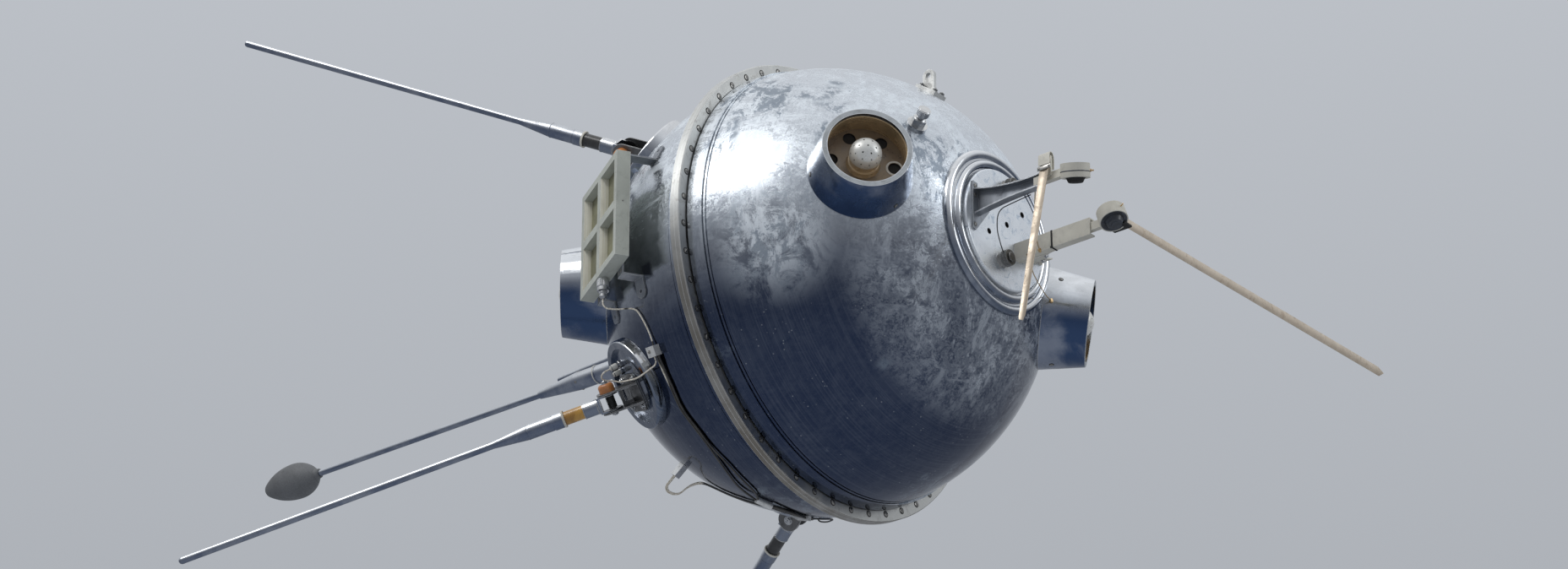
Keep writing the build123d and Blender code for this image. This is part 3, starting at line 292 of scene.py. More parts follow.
class Finish:
    """One procedural material and the nodes that paint it, in metres on the probe's own axes."""

    def __init__(self, name, metallic=0.0, **shader_values):
        finishes[name] = bpy.data.materials.new(name)
        finishes[name].use_nodes = True
        self.tree = finishes[name].node_tree
        self.shader = self.tree.nodes["Principled BSDF"]
        self.set(Metallic=metallic, **shader_values)
        self.place = self.node("TexCoord", {}, "Object")
        self.slope = None

    def set(self, **values):
        """Feeds the shader's sockets."""
        for socket, value in values.items():
            feed(self.tree, self.shader.inputs[socket.replace("_", " ")], value)

    def node(self, kind, inputs, output=0, **settings):
        """Adds a node and gives one of its outputs."""
        return add_node(self.tree, kind, inputs, output, **settings)

    def stretched(self, *scale):
        """The probe's coordinates, scaled along each axis."""
        return self.node("Mapping", {"Vector": self.place, "Scale": scale})

    def noise(self, scale, detail, roughness=0.55, distortion=0.0, vector=None):
        """Cloudy value round 0.5."""
        return self.node("TexNoise", {
            "Vector": vector or self.place, "Scale": scale, "Detail": detail,
            "Roughness": roughness, "Distortion": distortion,
        })

    def cells(self, scale):
        """Distance to the nearest of many scattered points."""
        return self.node("TexVoronoi", {"Vector": self.place, "Scale": scale}, "Distance")

    def range(self, value, low, high, to_low=0.0, to_high=1.0):
        """Smooth step from to_low at low to to_high at high."""
        sockets = dict(enumerate((value, low, high, to_low, to_high)))
        return self.node("MapRange", sockets, interpolation_type="SMOOTHSTEP")

    def axis(self, name):
        """One coordinate of the probe."""
        return self.node("SeparateXYZ", {0: self.place}, name)

    def away(self, point):
        """Distance from a point of the probe."""
        return self.node("VectorMath", {0: self.place, 1: point}, "Value", operation="DISTANCE")

    def near(self, point, radius, soft):
        """1 within a radius of a point, falling to 0 over a soft edge."""
        return self.range(self.away(point), radius, radius + soft, 1.0, 0.0)

    def underside(self, low=-0.45, high=0.12):
        """1 on faces that look down, 0 on those that look up; the mask of the painted shade on undersides.
        """
        normal = self.node("NewGeometry", {}, "Normal")
        return self.range(self.node("SeparateXYZ", {0: normal}, "Z"), low, high, 1.0, 0.0)

    def edges(self, width):
        """1 along the sharp edges of a piece, to a width in metres."""
        eased = self.node("Bevel", {"Radius": width}, samples=4)
        flat = self.node("NewGeometry", {}, "True Normal")
        likeness = self.node("VectorMath", {0: eased, 1: flat}, "Value", operation="DOT_PRODUCT")
        return self.range(likeness, 0.9, 0.995, 1.0, 0.0)

    def combine(self, operation, total, *values):
        """Takes values into a total, one node each."""
        for value in values:
            total = self.node("Math", {0: total, 1: value}, operation=operation)
        return total

    times = partialmethod(combine, "MULTIPLY")
    most = partialmethod(combine, "MAXIMUM")
    plus = partialmethod(combine, "ADD")

    def mix(self, share, a, b):
        """Colour between a and b."""
        return self.node("Mix", {"Factor": share, 6: a, 7: b}, 2, data_type="RGBA")

    def bump(self, height, distance, strength):
        """Adds relief of a depth in metres."""
        sockets = {"Distance": distance, "Strength": strength, "Height": height}
        if self.slope:
            sockets["Normal"] = self.slope
        self.slope = self.node("Bump", sockets)

    def done(self, colour, roughness):
        """Links the paint to the shader."""
        self.set(Base_Color=colour, Roughness=roughness, Normal=self.slope)


def shade(tone, share):
    """A colour at a share of its lightness."""
    return tuple(share * part for part in tone)


def polished_sphere():
    """Old polished aluminium: cloudy white patina kept mostly to the top, which paints the top lighter, and
    to the crown side, crisp dark stains, drips, turning lines and a painted dark blue reflection on faces
    that look down.
    """
    f = Finish("polished_sphere", 1.0)
    crown_side = f.range(f.axis("X"), 0.23, 0.35, 0.0, 0.6)
    # painted light: the white patina fades out towards the bottom, so the top is painted lighter; on the
    # crown side it stays
    painted_light_top_and_crown_side = f.most(f.range(f.axis("Z"), -0.2, 0.14, 0.04, 1.0), crown_side)
    bloom = f.range(f.noise(5.6, 14, 0.8, 0.6), 0.42, 0.58)
    mottle = f.range(f.noise(42, 13, 0.86, 0.3), 0.43, 0.57)
    speckle = f.range(f.noise(160, 7, 0.85), 0.48, 0.58)
    streaks = f.range(f.noise(11, 12, 0.8, 0.5, f.stretched(0.5, 1.0, 2.4)), 0.5, 0.6)
    drips = f.range(f.noise(15, 9, 0.72, 0.3, f.stretched(1.8, 1.8, 0.16)), 0.51, 0.62)
    ragged = f.range(f.noise(13, 13, 0.8, 0.6), 0.38, 0.54)
    worn_spot = f.times(f.near((0.175, -0.38, -0.075), 0.03, 0.13), ragged)
    veil = f.times(f.range(bloom, 0, 1, 0.36, 1.0), f.range(mottle, 0, 1, 0.24, 1.0))
    veil = f.times(f.most(veil, f.times(streaks, 0.75), f.times(drips, 0.8)), painted_light_top_and_crown_side)
    veil = f.most(veil, f.times(worn_spot, 0.85), f.times(speckle, painted_light_top_and_crown_side, 0.6))
    stain_area = f.most(f.range(f.noise(3.6, 4, 0.6, 0.2), 0.56, 0.62), worn_spot)
    flakes = f.range(f.noise(30, 14, 0.84, 0.5, f.stretched(1.0, 1.0, 0.55)), 0.505, 0.525)
    stain = f.times(flakes, stain_area)
    pocks = f.times(f.range(f.cells(95), 0.1, 0.16, 1.0, 0.0), f.range(f.noise(17, 5, 0.6), 0.5, 0.58))
    turning = f.noise(1, 3, 0.6, 0.0, f.stretched(420, 3, 3))
    # painted reflection: faces that look down turn dark blue, over the metal's own grey
    bare_and_painted_underside = f.mix(f.underside(-0.5, 0.2), (0.56, 0.59, 0.63), (0.028, 0.042, 0.085))
    colour = f.mix(veil, bare_and_painted_underside, (0.8, 0.85, 0.89))
    colour = f.mix(f.times(stain, 0.85), colour, (0.2, 0.24, 0.29))
    colour = f.mix(f.times(pocks, 0.6), colour, (0.34, 0.36, 0.38))
    colour = f.mix(f.range(turning, 0.4, 0.7, 0.0, 0.1), colour, (0.3, 0.33, 0.38))
    f.set(Metallic=f.range(veil, 0, 1, 1.0, 0.45))
    f.bump(f.noise(7, 2, 0.4), 0.0012, 0.25)
    f.bump(turning, 0.00006, 0.5)
    f.bump(f.times(mottle, veil), 0.00014, 0.5)
    f.bump(f.most(stain, pocks), 0.0001, -0.6)
    f.done(colour, f.plus(f.range(veil, 0, 1, 0.12, 0.46), f.times(stain, 0.12)))


def metal(
    name, tone, rough, cloud_scale, line_scale, grime, dark=(0.3, 0.29, 0.27),
    metallic=1.0, edge=None, painted_underside_shade=None,
):
    """Worn unpainted metal: uneven bloom, grime in the hollows, scratches, turning or drawing lines, and,
    when its colour is given, painted shade on the faces that look down.
    """
    f = Finish(name, metallic)
    cloud = f.range(f.noise(cloud_scale, 8, 0.62, 0.5), 0.36, 0.66)
    dirt = f.range(f.noise(cloud_scale * 3.3, 9, 0.7, 0.9), 0.52, 0.66)
    colour = f.mix(cloud, tone, shade(tone, 0.8))
    colour = f.mix(f.times(dirt, grime), colour, dark)
    if painted_underside_shade:
        # painted shade: faces that look down are darkened, patchily, towards the given colour
        patchy = f.range(f.noise(cloud_scale * 0.8, 6, 0.6, 0.4), 0.35, 0.6, 0.7, 1.0)
        colour = f.mix(f.times(f.underside(), patchy), colour, painted_underside_shade)
    if edge:
        colour = f.mix(f.times(f.edges(edge), 0.85), colour, (0.88, 0.88, 0.86))
    if line_scale:
        lines = f.noise(1, 3, 0.6, 0.0, f.stretched(*line_scale))
        colour = f.mix(f.range(lines, 0.4, 0.7, 0.0, 0.22), colour, shade(tone, 0.6))
        f.bump(lines, 0.0001, 0.5)
    f.bump(f.noise(cloud_scale * 9, 5, 0.6), 0.0001, 0.2)
    f.done(colour, f.plus(f.range(cloud, 0, 1, rough, rough + 0.16), f.times(dirt, 0.15)))


def paint(name, tone, rough, chip_tone, wear, speckle=0.0, edge=None):
    """Old enamel with faded clouds, fine dirt and a few chips."""
    f = Finish(name, 0.0)
    cloud = f.range(f.noise(9, 7, 0.6, 0.4), 0.35, 0.65)
    dirt = f.range(f.noise(55, 8, 0.72, 0.6), 0.5, 0.68)
    chips = f.range(f.cells(150), 0.1, 0.14, 1.0, 0.0)
    chips = f.times(chips, f.range(f.noise(22, 4), 0.55, 0.62))
    colour = f.mix(cloud, tone, shade(tone, 0.84))
    colour = f.mix(f.times(dirt, wear * 0.6), colour, shade(tone, 0.5))
    colour = f.mix(f.times(chips, wear), colour, chip_tone)
    if edge:
        rubbed = f.range(f.noise(40, 6, 0.7), 0.34, 0.52, 0.35, 1.0)
        colour = f.mix(f.times(f.edges(edge), rubbed), colour, (0.8, 0.8, 0.76))
    if speckle:
        grains = f.range(f.noise(420, 3, 0.6), 0.42, 0.6, 0.0, speckle)
        colour = f.mix(grains, colour, shade(tone, 0.35))
    roughness = f.range(cloud, 0, 1, rough, rough + 0.15)
    f.bump(f.noise(260, 5, 0.6), 0.00025, 0.4)
    f.bump(chips, 0.0002, -0.5)
    f.done(colour, roughness)


def barrel(name, tone, deep):
    """Varnished insulator with fine turned lines and a soft gloss."""
    f = Finish(name, 0.0, Coat_Weight=0.35, Coat_Roughness=0.12)
    cloud = f.range(f.noise(26, 7, 0.6, 0.8), 0.35, 0.68)
    streak = f.range(f.noise(180, 4, 0.6), 0.45, 0.7, 0.0, 0.5)
    colour = f.mix(cloud, tone, deep)
    colour = f.mix(streak, colour, shade(tone, 0.6))
    f.bump(f.noise(300, 4, 0.6), 0.0002, 0.3)
    f.done(colour, f.range(cloud, 0, 1, 0.28, 0.5))


def trap_floor():
    """Dark brown lacquer of a trap's floor, dusty and worn."""
    f = Finish("trap_floor", 0.55)
    cloud = f.range(f.noise(16, 8, 0.62, 0.6), 0.36, 0.66)
    dirt = f.range(f.noise(48, 9, 0.7, 0.9), 0.5, 0.66)
    colour = f.mix(cloud, (0.2, 0.17, 0.145), (0.3, 0.235, 0.165))
    colour = f.mix(f.times(dirt, 0.35), colour, (0.12, 0.1, 0.085))
    f.bump(f.noise(120, 5, 0.6), 0.0002, 0.3)
    f.done(colour, f.range(cloud, 0, 1, 0.24, 0.42))


def trap_dome():
    """Pale satin dome on a bronze neck."""
    f = Finish("electrode", 0.35)
    dome = f.range(f.away((0, 0, 0)), 0.4738, 0.4746)
    cloud = f.range(f.noise(34, 7, 0.6, 0.5), 0.35, 0.66)
    specks = f.range(f.noise(150, 7, 0.7), 0.56, 0.68)
    colour = f.mix(dome, (0.62, 0.49, 0.32), (0.8, 0.8, 0.76))
    colour = f.mix(f.times(cloud, 0.35), colour, (0.52, 0.5, 0.45))
    colour = f.mix(f.times(specks, 0.4), colour, (0.3, 0.28, 0.25))
    f.bump(f.noise(160, 5, 0.6), 0.0002, 0.3)
    f.done(colour, f.range(cloud, 0, 1, 0.26, 0.42))


def knuckle():
    """Bright collar whose yoke, round the pin, is dark with rubbed edges; painted shade on its faces that
    look down.
    """
    f = Finish("knuckle", 0.95)
    yokes = [f.near(hinge_frame(name).translation, 0.0225, 0.0015) for name in ANTENNAS]
    cloud = f.range(f.noise(26, 8, 0.62, 0.5), 0.36, 0.66)
    scratches = f.range(f.noise(90, 9, 0.7, 0.9), 0.52, 0.66)
    colour = f.mix(cloud, (0.8, 0.81, 0.82), (0.62, 0.63, 0.64))
    # painted shade: faces that look down are darkened to a cool grey
    colour = f.mix(f.underside(), colour, (0.22, 0.25, 0.31))
    colour = f.mix(f.most(*yokes), colour, (0.075, 0.075, 0.08))
    colour = f.mix(f.times(f.edges(0.0009), 0.9), colour, (0.88, 0.88, 0.86))
    colour = f.mix(f.times(scratches, 0.3), colour, (0.25, 0.24, 0.22))
    f.bump(f.noise(230, 6, 0.65), 0.0002, 0.35)
    f.done(colour, f.range(cloud, 0, 1, 0.2, 0.36))


def cable_sheath():
    """Black and cream sheaths: the loops at the plugs are cream or white, the runs are black."""
    f = Finish("cable", 0.0)
    loops = f.near(direction(127.0, -105.0) * 0.465, 0.042, 0.006)
    port_lead = f.near(direction(118.5, -142.0) * 0.44, 0.088, 0.004)
    panel_lead = f.near((-0.2009, -0.4155, -0.125), 0.04, 0.004)
    braided = f.near(direction(108.6, -157.0) * 0.43, 0.042, 0.003)
    pale = f.most(loops, port_lead, panel_lead, braided)
    braid = f.noise(1, 2, 0.5, 0.0, f.stretched(420, 420, 420))
    cloud = f.range(f.noise(60, 6, 0.6), 0.36, 0.66)
    dark = f.mix(cloud, (0.03, 0.029, 0.028), (0.075, 0.07, 0.062))
    light = f.mix(f.range(braid, 0.42, 0.58), (0.84, 0.8, 0.7), (0.56, 0.5, 0.4))
    f.bump(braid, 0.0004, 0.6)
    f.done(f.mix(pale, dark, light), f.range(cloud, 0, 1, 0.42, 0.62))


def crown_wire():
    """One black lead and two of braided brass-coloured wire."""
    f = Finish("crown_wire", 0.35)
    share = f.plus(f.axis("X"), f.times(f.axis("Y"), 1.6))
    braid = f.noise(1, 2, 0.5, 0.0, f.stretched(900, 900, 900))
    gold = f.mix(f.range(braid, 0.4, 0.6), (0.62, 0.47, 0.26), (0.2, 0.13, 0.07))
    f.bump(braid, 0.0003, 0.7)
    colour = f.mix(f.range(share, 0.4085, 0.4135), (0.03, 0.03, 0.03), gold)
    f.done(colour, f.range(braid, 0.3, 0.7, 0.3, 0.5))


def panel_floor():
    """Olive, finely grained sheet at the bottom of the windows."""
    f = Finish("panel_floor", 0.0)
    grain = f.noise(900, 4, 0.7)
    cloud = f.range(f.noise(18, 8, 0.65, 0.5), 0.36, 0.66)
    colour = f.mix(cloud, (0.24, 0.235, 0.14), (0.15, 0.145, 0.09))
    colour = f.mix(f.range(grain, 0.45, 0.65, 0.0, 0.6), colour, (0.33, 0.32, 0.21))
    f.bump(grain, 0.0003, 0.7)
    f.done(colour, f.range(grain, 0.3, 0.7, 0.55, 0.75))


def layered_liner():
    """Cream edge of stacked sheets that lines the windows."""
    f = Finish("panel_liner", 0.0)
    layers = f.noise(1, 2, 0.5, 0.0, f.stretched(900, 900, 6))
    cloud = f.range(f.noise(30, 6, 0.6), 0.36, 0.66)
    colour = f.mix(f.range(layers, 0.38, 0.62), (0.96, 0.94, 0.84), (0.8, 0.76, 0.62))
    colour = f.mix(f.times(cloud, 0.3), colour, (0.62, 0.6, 0.5))
    f.bump(layers, 0.0004, 0.6)
    f.done(colour, f.range(cloud, 0, 1, 0.45, 0.6))


def make_finishes():
    """Every finish, kept by its name."""
    polished_sphere()
    # The colours given for the undersides are painted shade on faces that look down.
    metal("flange", (0.7, 0.7, 0.67), 0.28, 14, (3, 3, 3), 0.55, edge=0.0012, painted_underside_shade=(0.22, 0.2, 0.17))
    metal("crown", (0.86, 0.87, 0.88), 0.07, 9, (300, 4, 4), 0.15, painted_underside_shade=(0.1, 0.13, 0.19))
    metal("crown_plate", (0.86, 0.89, 0.92), 0.26, 17, None, 0.85, (0.4, 0.46, 0.53), 0.75)
    metal("shroud", (0.8, 0.82, 0.84), 0.09, 10, None, 0.2, edge=0.0012, painted_underside_shade=(0.05, 0.085, 0.17))
    trap_floor()
    metal("trap_lining", (0.66, 0.48, 0.27), 0.2, 16, (3, 3, 3), 0.35, (0.2, 0.14, 0.08), 0.55)
    metal("rim_grey", (0.5, 0.52, 0.53), 0.42, 30, None, 0.3)
    trap_dome()
    metal("fitting", (0.74, 0.74, 0.73), 0.16, 24, None, 0.25, edge=0.0006, painted_underside_shade=(0.3, 0.31, 0.33))
    metal("lug", (0.58, 0.58, 0.56), 0.4, 20, None, 0.3, metallic=0.5, edge=0.0008)
    metal("clamp", (0.76, 0.76, 0.74), 0.3, 30, None, 0.4, metallic=0.45, edge=0.0006)
    knuckle()
    metal("bracket", (0.17, 0.17, 0.17), 0.3, 26, None, 0.5, (0.06, 0.06, 0.06), 0.9, edge=0.0011)
    metal("arm_grey", (0.3, 0.32, 0.35), 0.36, 20, None, 0.4, (0.14, 0.14, 0.15), 0.7, edge=0.0011)
    paint("panel", (0.5, 0.52, 0.46), 0.5, (0.7, 0.7, 0.68), 0.6, edge=0.0012)
    panel_floor()
    layered_liner()
    paint("cream", (0.66, 0.63, 0.54), 0.42, (0.45, 0.43, 0.38), 0.5, edge=0.0008)
    metal("boom_grey", (0.66, 0.68, 0.71), 0.24, 16, (3, 60, 60), 0.35, painted_underside_shade=(0.14, 0.17, 0.24))
    paint("head_grey", (0.16, 0.165, 0.17), 0.62, (0.32, 0.32, 0.32), 0.5, 0.25)
    barrel("insulator_black", (0.035, 0.034, 0.033), (0.01, 0.01, 0.01))
    barrel("insulator_amber", (0.56, 0.3, 0.05), (0.3, 0.14, 0.02))
    barrel("insulator_brown", (0.62, 0.24, 0.07), (0.34, 0.11, 0.03))
    metal("steel_tape", (0.66, 0.56, 0.44), 0.34, 24, (30, 30, 3), 0.5, (0.3, 0.21, 0.14), 0.55)
    metal("connector", (0.13, 0.125, 0.115), 0.36, 40, None, 0.5, (0.05, 0.045, 0.04), edge=0.0005)
    cable_sheath()
    crown_wire()
    # near-black paint: the own colour of black parts such as the spring, cable tie and box, and painted
    # shade where it lines holes, pits, pores and sunk seats
    paint("black_and_painted_shade", (0.022, 0.021, 0.02), 0.7, (0.05, 0.05, 0.05), 0.4)
    metal("screw", (0.34, 0.33, 0.31), 0.3, 60, None, 0.5, (0.08, 0.07, 0.06))
    metal("brass", (0.72, 0.5, 0.26), 0.28, 50, None, 0.4, (0.25, 0.15, 0.08))
    paint("white_plug", (0.72, 0.71, 0.66), 0.35, (0.5, 0.48, 0.42), 0.5)
    barrel("reel_face", (0.03, 0.04, 0.06), (0.012, 0.014, 0.018))


# Finish of the nodes whose names start so; the first that fits counts
NODE_FINISH = {
    "hull_": "polished_sphere",
    "flange_": "flange",
    "crown_ring": "crown",
    "crown_plate": "crown_plate",
    "crown_connectors": "connector",
    "crown_leads": "crown_wire",
    "trap_shroud_": "shroud",
    "trap_plate_": "trap_floor",
    "trap_electrode_": "electrode",
    "charging_valve": "fitting",
    "lug_": "lug",
    "panel_frame": "panel",
    "panel_cells": "panel_floor",
    "panel_feet": "arm_grey",
    "plugs": "fitting",
    "cable_clamps": "clamp",
    "cables": "cable",
    "boom_base": "crown",
    "boom_": "boom_grey",
    "magnetometer_head": "head_grey",
    "antenna_port_": "crown",
    "antenna_bracket_": "bracket",
    "antenna_knuckle_": "knuckle",
    "antenna_insulator_b": "insulator_amber",
    "antenna_insulator_": "insulator_black",
    "antenna_rod_": "boom_grey",
    "lead_insulators": "insulator_brown",
    "ribbon_arm_1": "arm_grey",
    "ribbon_arm_2": "cream",
    "ribbon_reel_": "cream",
    "ribbon_tape_": "steel_tape",
}


def paint_nodes():
    """Gives each CAD node its finish."""
    for name, node in nodes.items():
        finish = next(finish for start, finish in NODE_FINISH.items() if name.startswith(start))
        node.data.materials.clear()
        node.data.materials.append(finishes[finish])


# Frames that pieces are placed in

def shift(x=0.0, y=0.0, z=0.0):
    """Move along the local axes."""
    return Matrix.Translation((x, y, z))


def turn(angle, axis):
    """Turn about a local axis."""
    return Matrix.Rotation(radians(angle), 4, axis)


def corners(x, y):
    """The four corners of a rectangle round the middle."""
    return [(side * x, end * y) for side in (-1, 1) for end in (-1, 1)]


def face_frame(roll, radius, face, side):
    """Frame on a face square to the axis: z out of the face, x outwards from the axis."""
    out, z = direction(90, roll), side * X
    return frame_of(out, z.cross(out), z, out * radius + z * face)


def crown_frame(x, y, z):
    """Frame on the crown plate, z along +X; x is counted from the plate's face."""
    return frame_of(Y, Z, X, Vector((CROWN_FACE + x, y, z)))


def panel_frame_place():
    """Frame of the sensor panel: x to its +X edge, y up, z outwards."""
    yaw = radians(PANEL_YAW)
    x = Vector((cos(yaw), -sin(yaw), 0))
    z = Vector((-sin(yaw), -cos(yaw), 0))
    return frame_of(x, Z, z, direction(*PANEL_AT) * PANEL_RHO)


def hinge_frame(name):
    """Frame of an antenna's hinge: x along the rod, y along the pin."""
    antenna = ANTENNAS[name]
    r, s, t = (radians(angle) for angle in (antenna.roll, antenna.splay, antenna.lean))
    level = Vector((-cos(s), sin(s) * cos(r), sin(s) * sin(r)))
    across = Vector((0, -sin(r), cos(r)))
    along = level * cos(t) + across * sin(t)
    pin = across * cos(t) - level * sin(t)
    pivot = outward(PORT_POLAR, antenna.roll, SPHERE_R + PIVOT_RISE) @ Vector((PIVOT_SHIFT, 0, 0))
    return frame_of(along, pin, along.cross(pin), pivot)


# Shapes

class Piece:
    """One mesh built of turned, pressed and bent shapes, then laid on a body."""

    def __init__(self, name):
        self.name = name
        self.bm = bmesh.new()

    def since(self, before):
        """Vertices made after those in before."""
        return [vert for vert in self.bm.verts if vert not in before]

    def moved(self, before, at):
        """Puts the vertices made after those in before into their frame."""
        bmesh.ops.transform(self.bm, matrix=at, verts=self.since(before))

    def turned(self, profile, at=Matrix(), steps=20):
        """Spins a line of (radius, height) points round z."""
        before = set(self.bm.verts)
        line = [self.bm.verts.new((radius, 0, height)) for radius, height in profile]
        edges = [self.bm.edges.new(pair) for pair in zip(line, line[1:])]
        bmesh.ops.spin(
            self.bm, geom=line + edges, axis=(0, 0, 1), cent=(0, 0, 0),
            angle=tau, steps=steps, use_merge=True,
        )
        bmesh.ops.remove_doubles(self.bm, verts=self.since(before), dist=1e-6)
        self.moved(before, at)

    def prism(self, sides, radius, low, high, at=Matrix(), bevel=0.0):
        """Upright prism with eased edges."""
        before = set(self.bm.verts)
        bmesh.ops.create_cone(
            self.bm, cap_ends=True, segments=sides, radius1=radius, radius2=radius,
            depth=high - low, matrix=shift(z=(low + high) / 2),
        )
        self.eased(before, bevel)
        self.moved(before, at)

    def block(self, x, y, z, at=Matrix(), bevel=0.0):
        """Box between a lowest and a highest value on each axis, with eased edges."""
        before = set(self.bm.verts)
        middle = shift((x[0] + x[1]) / 2, (y[0] + y[1]) / 2, (z[0] + z[1]) / 2)
        size = Matrix.Diagonal((x[1] - x[0], y[1] - y[0], z[1] - z[0], 1))
        bmesh.ops.create_cube(self.bm, size=1.0, matrix=middle @ size)
        self.eased(before, bevel)
        self.moved(before, at)

    def eased(self, before, bevel):
        """Bevels the edges of the vertices made after those in before."""
        if not bevel:
            return
        edges = [edge for edge in self.bm.edges if edge.verts[0] not in before]
        bmesh.ops.bevel(
            self.bm, geom=edges, offset=bevel, offset_type="OFFSET", segments=2,
            profile=0.5, affect="EDGES", material=-1,
        )

    def knurl(self, radius, low, high, count, depth, at):
        """Ring of fine upright ribs with bevelled ends."""
        before = set(self.bm.verts)
        self.prism(2 * count, radius, low, high)
        for vert in self.since(before):
            if round(degrees(atan2(vert.co.y, vert.co.x)) * count / 180) % 2:
                vert.co.x *= 1 - depth / radius
                vert.co.y *= 1 - depth / radius
        self.moved(before, at)

    def coil(self, radius, wire, length, turns, at):
        """Wound spring round z."""
        before = set(self.bm.verts)
        steps = 14 * turns
        foot = shift(x=radius, z=-length / 2) @ turn(90, "X")
        circle = bmesh.ops.create_circle(self.bm, cap_ends=True, segments=7, radius=wire, matrix=foot)
        edges = [edge for edge in self.bm.edges if edge.verts[0] not in before]
        bmesh.ops.spin(
            self.bm, geom=circle["verts"] + edges, axis=(0, 0, 1), cent=(0, 0, 0),
            dvec=(0, 0, length / steps), angle=tau * turns, steps=steps,
        )
        ends = [edge for edge in self.bm.edges if edge.is_boundary and edge.verts[0] not in before]
        bmesh.ops.holes_fill(self.bm, edges=ends, sides=8)
        self.moved(before, at)

    def strip(self, profile, low, high, thickness):
        """Bent sheet: a line of (y, z) points drawn along x from low to high."""
        before = set(self.bm.verts)
        line = [self.bm.verts.new((low, y, z)) for y, z in profile]
        edges = [self.bm.edges.new(pair) for pair in zip(line, line[1:])]
        drawn = bmesh.ops.extrude_edge_only(self.bm, edges=edges)["geom"]
        moving = [item for item in drawn if isinstance(item, bmesh.types.BMVert)]
        bmesh.ops.translate(self.bm, verts=moving, vec=(high - low, 0, 0))
        faces = [face for face in self.bm.faces if face.verts[0] not in before]
        bmesh.ops.solidify(self.bm, geom=faces, thickness=thickness)

    def stamp(self, mesh, at):
        """Adds a copy of a ready shape."""
        before = set(self.bm.verts)
        self.bm.from_mesh(mesh)
        self.moved(before, at)

    def shape(self):
        """The mesh alone, for stamping."""
        bmesh.ops.recalc_face_normals(self.bm, faces=self.bm.faces)
        mesh = bpy.data.meshes.new(self.name)
        self.bm.to_mesh(mesh)
        self.bm.free()
        return mesh

    def done(self, finish, body="base", sharp=35):
        """Finishes the piece and lets it ride on a body."""
        mesh = self.shape()
        mesh.materials.append(finishes[finish])
        mesh.shade_smooth()
        mesh.set_sharp_from_angle(angle=radians(sharp))
        piece = new_object(self.name, mesh)
        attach(piece, body)
        return piece


def slotted_head(radius, height):
    """Low domed screw head with a slot."""
    head = Piece("slotted_head")
    dome = [(0, height), (radius * 0.62, height * 0.92), (radius, height * 0.5), (radius, 0)]
    head.turned(dome, steps=16)
    half = radius * 0.16
    for side in (-half, half):
        everything = head.bm.verts[:] + head.bm.edges[:] + head.bm.faces[:]
        bmesh.ops.bisect_plane(head.bm, geom=everything, dist=1e-7, plane_co=X * side, plane_no=X)
    sunk = [
        face for face in head.bm.faces
        if abs(face.calc_center_median().x) < half and face.calc_center_median().z > 0.4 * height
    ]
    pushed = bmesh.ops.extrude_face_region(head.bm, geom=sunk)["geom"]
    verts = [item for item in pushed if isinstance(item, bmesh.types.BMVert)]
    bmesh.ops.translate(head.bm, verts=verts, vec=(0, 0, -height * 0.5))
    return head.shape()


def hex_bolt(radius, height):
    """Hexagonal nut on its washer with the end of a stud."""
    bolt = Piece("hex_bolt")
    bolt.turned([(0, 0.3 * height), (radius * 1.3, 0.25 * height), (radius * 1.35, 0)], steps=14)
    bolt.prism(6, radius, 0.2 * height, height, bevel=0.07 * radius)
    stud = radius * 0.5
    end = [(0, 1.35 * height), (0.8 * stud, 1.33 * height), (stud, 1.2 * height), (stud, 0.9 * height)]
    bolt.turned(end, steps=10)
    return bolt.shape()


def turned_piece(name, finish, profile, place, steps, body="base"):
    """Piece of one turned shape."""
    piece = Piece(name)
    piece.turned(profile, place, steps)
    piece.done(finish, body)


def stamped_piece(name, finish, mesh, places):
    """Piece of one ready shape at several places."""
    piece = Piece(name)
    for place in places:
        piece.stamp(mesh, place)
    piece.done(finish)


# Details of the probe

def add_ring_screws():
    """Sunk slotted screws on the crown side of the flange, ringed with painted shade for their sunk seats,
    nuts on the boom side.
    """
    head = slotted_head(0.0052, 0.0016)
    nut = hex_bolt(0.0055, 0.0055)
    painted_shade_wells = Piece("ring_screw_painted_shade_wells")
    heads = Piece("ring_screws")
    nuts = Piece("ring_nuts")
    for k in range(SCREW_COUNT):
        roll = SCREW_FIRST_ROLL + 360 * k / SCREW_COUNT
        place = face_frame(roll, SCREW_CIRCLE_R, FLANGE_FACE, 1)
        # painted shade: a dark ring round each head for its sunk seat, which is not cut
        painted_shade_wells.turned([(0.0052, 0.0001), (0.0066, 0.0004), (0.0068, 0.0)], place, 16)
        heads.stamp(head, place @ turn(67 * k % 180, "Z"))
        nuts.stamp(nut, face_frame(roll, SCREW_CIRCLE_R, FLANGE_FACE, -1) @ turn(31 * k, "Z"))
    painted_shade_wells.done("black_and_painted_shade")
    heads.done("screw")
    nuts.done("bracket")


def trap_bore(level):
    """Radius inside a trap's cone at a level."""
    share = (TRAP_RIM - level) / (TRAP_RIM - TRAP_ROOT)
    return TRAP_MOUTH_R + (TRAP_ROOT_BORE_R - TRAP_MOUTH_R) * share


def trap_skin(level):
    """Radius outside a trap's cone at a level."""
    return TRAP_ROOT_R - TRAP_TAPER * (level - TRAP_ROOT)


